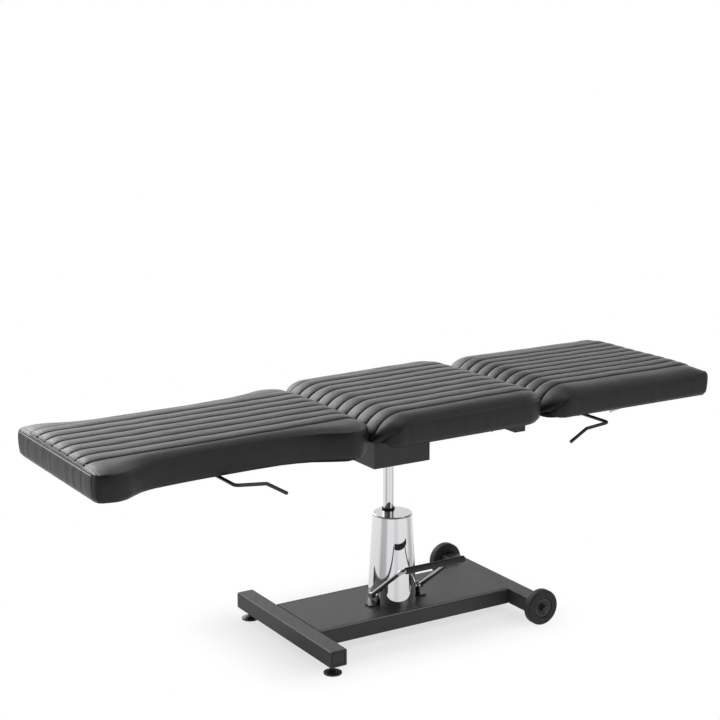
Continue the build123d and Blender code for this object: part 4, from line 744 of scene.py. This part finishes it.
def stitching(name, paths, thread, body, thickness=0.0007):
    """Stitches along paths over a cover: each a short bead of thread, with a gap to the next."""
    pitch, length = 0.0046, 0.0036
    points = []
    faces = []
    for path_points in paths:
        route = np.array(path_points)
        travel = np.concatenate([[0], np.cumsum(np.linalg.norm(np.diff(route, axis=0), axis=1))])
        for number in range(int(travel[-1] / pitch)):
            start, end = [
                np.array([np.interp(number * pitch + reach, travel, route[:, axis]) for axis in range(3)])
                for reach in (0.0, length)
            ]
            along = (end - start) / np.linalg.norm(end - start)
            side = np.cross(along, (0, 0, 1)) if abs(along[2]) < 0.9 else np.cross(along, (0, 1, 0))
            side /= np.linalg.norm(side)
            up = np.cross(side, along)
            first = len(points)
            points.append(tuple(start))
            for share in (0.25, 0.75):
                centre = start + (end - start) * share
                for turn in range(6):
                    angle = turn * math.pi / 3
                    spoke = side * math.cos(angle) + up * math.sin(angle)
                    points.append(tuple(centre + spoke * thickness))
            points.append(tuple(end))
            for turn in range(6):
                after = (turn + 1) % 6
                faces.append((first, first + 1 + after, first + 1 + turn))
                faces.append((first + 1 + turn, first + 1 + after, first + 7 + after, first + 7 + turn))
                faces.append((first + 7 + turn, first + 7 + after, first + 13))
    mesh = bpy.data.meshes.new(name)
    mesh.from_pydata(points, [], faces)
    mesh.polygons.foreach_set("use_smooth", [True] * len(mesh.polygons))
    mesh.materials.append(thread)
    piece = bpy.data.objects.new(name, mesh)
    bpy.context.scene.collection.objects.link(piece)
    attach(piece, body)


def corner_inset(distance, radius):
    """How far a side stands in at a distance from the end, where the plan's corner is round."""
    short = max(radius - distance, 0)
    return radius - math.sqrt(radius * radius - short * short)


def rolled_stations(roll_x, pivot_z, radius, boxed_x, half, heights, corners, lean, end_drop):
    """Stations from the foot of a rolled end over its top to a boxed end.

    The heights are those of the seam lines at the roll and at the boxed end, and of the underside at
    both. The corners are the plan's radii at the roll and at the boxed end. The lean lowers the far
    side, and the end drop lowers the boxed end's seam further than the side seams. The foot lift
    rounds the lower edge of the roll.
    """
    line_front, line_rear, under_front, under_rear = heights
    corner_front, corner_rear = corners
    stations = []
    rise = line_front - pivot_z
    foot_lift = 0.009
    start = math.asin((under_front + foot_lift + 0.0015 - pivot_z) / rise)
    front = roll_x - radius * math.cos(start)
    turns = 30
    for number in range(turns):
        angle = start + (math.pi / 2 - start) * number / turns
        x = roll_x - radius * math.cos(angle)
        z = pivot_z + rise * math.sin(angle)
        inset = corner_inset(x - front, corner_front)
        under = under_front + foot_lift * (1 - float(ease(x - front, -0.006, 0.018)))
        out = (-math.cos(angle), math.sin(angle))
        stations.append((x, z, *out, half - inset, under, 1.0, lean * number / turns))
    border = 0.055
    near_end = [0.0, 0.0006, 0.0015, 0.003, 0.005, 0.0075, 0.0105, 0.014, 0.018, 0.023, 0.029, 0.036, 0.045]
    flat_end = boxed_x - near_end[-1]
    steps = int((flat_end - roll_x) / 0.0075)
    places = [roll_x + (flat_end - roll_x) * number / steps for number in range(steps)]
    places += [boxed_x - distance for distance in near_end[::-1]]
    for x in places:
        away = boxed_x - x
        share = (x - roll_x) / (boxed_x - roll_x)
        z = line_front + (line_rear - line_front) * share - end_drop * float(1 - crest(away / 0.1))
        under = under_front + (under_rear - under_front) * share
        inset = corner_inset(away, corner_rear)
        stations.append((x, z, 0.0, 1.0, half - inset, under, float(crest(away / border)), lean))
    return stations


def even_lines(count, spacing):
    """The Y places of evenly spaced seam lines."""
    return [(number - (count - 1) / 2) * spacing for number in range(count)]


# Thread: its light grey colour is a painted highlight that stands in for the sheen along the seams, on
# thread that is dark.
thread, place = new_finish("thread_painted_light", (0.4, 0.4, 0.4), 0.45)
twist = speckle(place, 900, 2)
feed(thread, "Base Color", two_tones(twist, (0.45, 0.45, 0.45), (0.8, 0.8, 0.8)))
feed(thread, "Roughness", 0.35 + twist * 0.2)

hinge_height = 0.575
roll = 0.094
seat_half = 0.285
seat_front_pivot = -0.083
seat_rear = 0.3635
board_top = 0.5905
seat_lines = even_lines(10, 0.051)
seat_leather = channel_leather("seat_leather", seat_lines, boxing_top=0.645, crease_depth=1.3)
seat = Cushion("seat_upholstery", seat_lines, board_top, seam_drop=0.0155, puff=0.0036, seed=1.7)
seat.build(
    rolled_stations(
        seat_front_pivot,
        hinge_height,
        radius=roll - 0.002,
        boxed_x=seat_rear,
        half=seat_half,
        heights=(0.657, 0.6655, 0.5825, 0.5855),
        corners=(0.05, 0.085),
        lean=0.019,
        end_drop=0.016,
    ),
    [(seat_rear - 0.025, -seat_half + 0.025), (seat_rear - 0.025, seat_half - 0.025)],
)
seat.piece.data.materials.append(seat_leather)
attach(seat.piece, "seat")
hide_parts("seat_cushion")
seat_last = seat.rows.shape[0] - 1
stitching(
    "seat_stitching",
    [
        seat.rows[seat_last - 3],
        seat.rows[seat_last - 6],
        seat.boxing_row(2, lambda i, j: i == seat_last),
    ],
    thread,
    "seat",
)

# Back cushion: made as the seat's, a little narrower, with the roll at its hinge.
back_half = 0.272
back_pivot = 0.4645
head_end = 0.94
back_lines = even_lines(10, 0.0447)
back_leather = channel_leather("back_leather", back_lines, boxing_top=0.645, crease_depth=1.3)
back = Cushion("back_upholstery", back_lines, board_top, seam_drop=0.0155, puff=0.0034, seed=5.1)
back.build(
    rolled_stations(
        back_pivot,
        hinge_height,
        radius=roll - 0.0065,
        boxed_x=head_end,
        half=back_half,
        heights=(0.66, 0.66, 0.5835, 0.5835),
        corners=(0.05, 0.012),
        lean=0.004,
        end_drop=-0.005,
    ),
    [(head_end - 0.006, -back_half + 0.006), (head_end - 0.006, back_half - 0.006)],
)
back.piece.data.materials.append(back_leather)
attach(back.piece, "back")
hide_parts("back_cushion")
back_last = back.rows.shape[0] - 1
stitching(
    "back_stitching",
    [back.rows[back_last - 3], back.boxing_row(2, lambda i, j: i == back_last)],
    thread,
    "back",
)

# Legrest cushion: a waisted plan that widens to both ends, boxed all round, with channels along it
# that run down to the end seams.
legrest_foot_end = -0.94
legrest_hinge_end = -0.1785
legrest_length = legrest_hinge_end - legrest_foot_end
legrest_under = (0.5578, 0.5655)
legrest_half = 0.27
# Shares of the length from the foot end, each with the share of the half width that the plan has there.
legrest_widths = [
    (0, 0.86), (0.006, 0.92), (0.02, 0.95), (0.046, 0.974), (0.079, 0.981), (0.105, 0.96),
    (0.138, 0.9), (0.171, 0.844), (0.204, 0.811), (0.25, 0.794), (0.315, 0.781), (0.473, 0.772),
    (0.63, 0.778), (0.709, 0.793), (0.762, 0.815), (0.814, 0.852), (0.86, 0.915), (0.885, 0.948),
    (0.908, 0.968), (0.925, 0.97), (0.945, 0.955), (0.965, 0.92), (0.982, 0.868), (0.994, 0.81),
    (1, 0.755),
]


def half_width_at(length_share):
    """Half width of the legrest's plan, on a smooth curve through its widths."""
    shares = np.array([place for place, width in legrest_widths])
    widths = np.array([width for place, width in legrest_widths])
    slopes = np.gradient(widths, shares)
    number = int(np.clip(np.searchsorted(shares, length_share) - 1, 0, len(shares) - 2))
    span = shares[number + 1] - shares[number]
    t = (length_share - shares[number]) / span
    straight = (1 - t) * widths[number] + t * widths[number + 1]
    if number < 3 or number > len(shares) - 6:
        return straight * legrest_half
    start = (2 * t**3 - 3 * t**2 + 1) * widths[number] + (t**3 - 2 * t**2 + t) * span * slopes[number]
    end = (3 * t**2 - 2 * t**3) * widths[number + 1] + (t**3 - t**2) * span * slopes[number + 1]
    return (start + end) * legrest_half


legrest_top = (0.638, 0.648)
end_places = [0.0, 0.0006, 0.0015, 0.003, 0.005, 0.0075, 0.0105]
end_places += [0.014, 0.018, 0.023, 0.029, 0.036, 0.044, 0.052]
middle_steps = 84
legrest_places = [legrest_foot_end + away for away in end_places]
middle_start = legrest_foot_end + end_places[-1]
span = legrest_length - 2 * end_places[-1]
legrest_places += [middle_start + span * number / middle_steps for number in range(1, middle_steps)]
legrest_places += [legrest_hinge_end - away for away in end_places[::-1]]
legrest_stations = []
for x in legrest_places:
    away = min(x - legrest_foot_end, legrest_hinge_end - x)
    share = (x - legrest_foot_end) / legrest_length
    top = legrest_top[0] + (legrest_top[1] - legrest_top[0]) * share
    under = legrest_under[0] + (legrest_under[1] - legrest_under[0]) * share
    risen = float(crest(away / end_places[-1]))
    legrest_stations.append((x, top, 0.0, 1.0, half_width_at(share), under, risen, 0.0))
legrest_lines = even_lines(8, 0.0495)
legrest_leather = channel_leather("legrest_leather", legrest_lines, boxing_top=0.628, crease_depth=0.6)
legrest = Cushion("legrest_upholstery", legrest_lines, 0.0, seam_drop=0.012, puff=0.0034, seed=9.3)
legrest.build(
    legrest_stations,
    [
        (legrest_foot_end + 0.01, -0.25),
        (legrest_foot_end + 0.01, 0.25),
        (legrest_hinge_end - 0.01, -0.245),
        (legrest_hinge_end - 0.01, 0.245),
    ],
)
legrest.piece.data.materials.append(legrest_leather)
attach(legrest.piece, "legrest")
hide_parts("legrest_cushion")
stitching(
    "legrest_stitching",
    [legrest.rows[3], legrest.rows[6], legrest.boxing_row(1, lambda i, j: i == 0)],
    thread,
    "legrest",
    0.001,
)
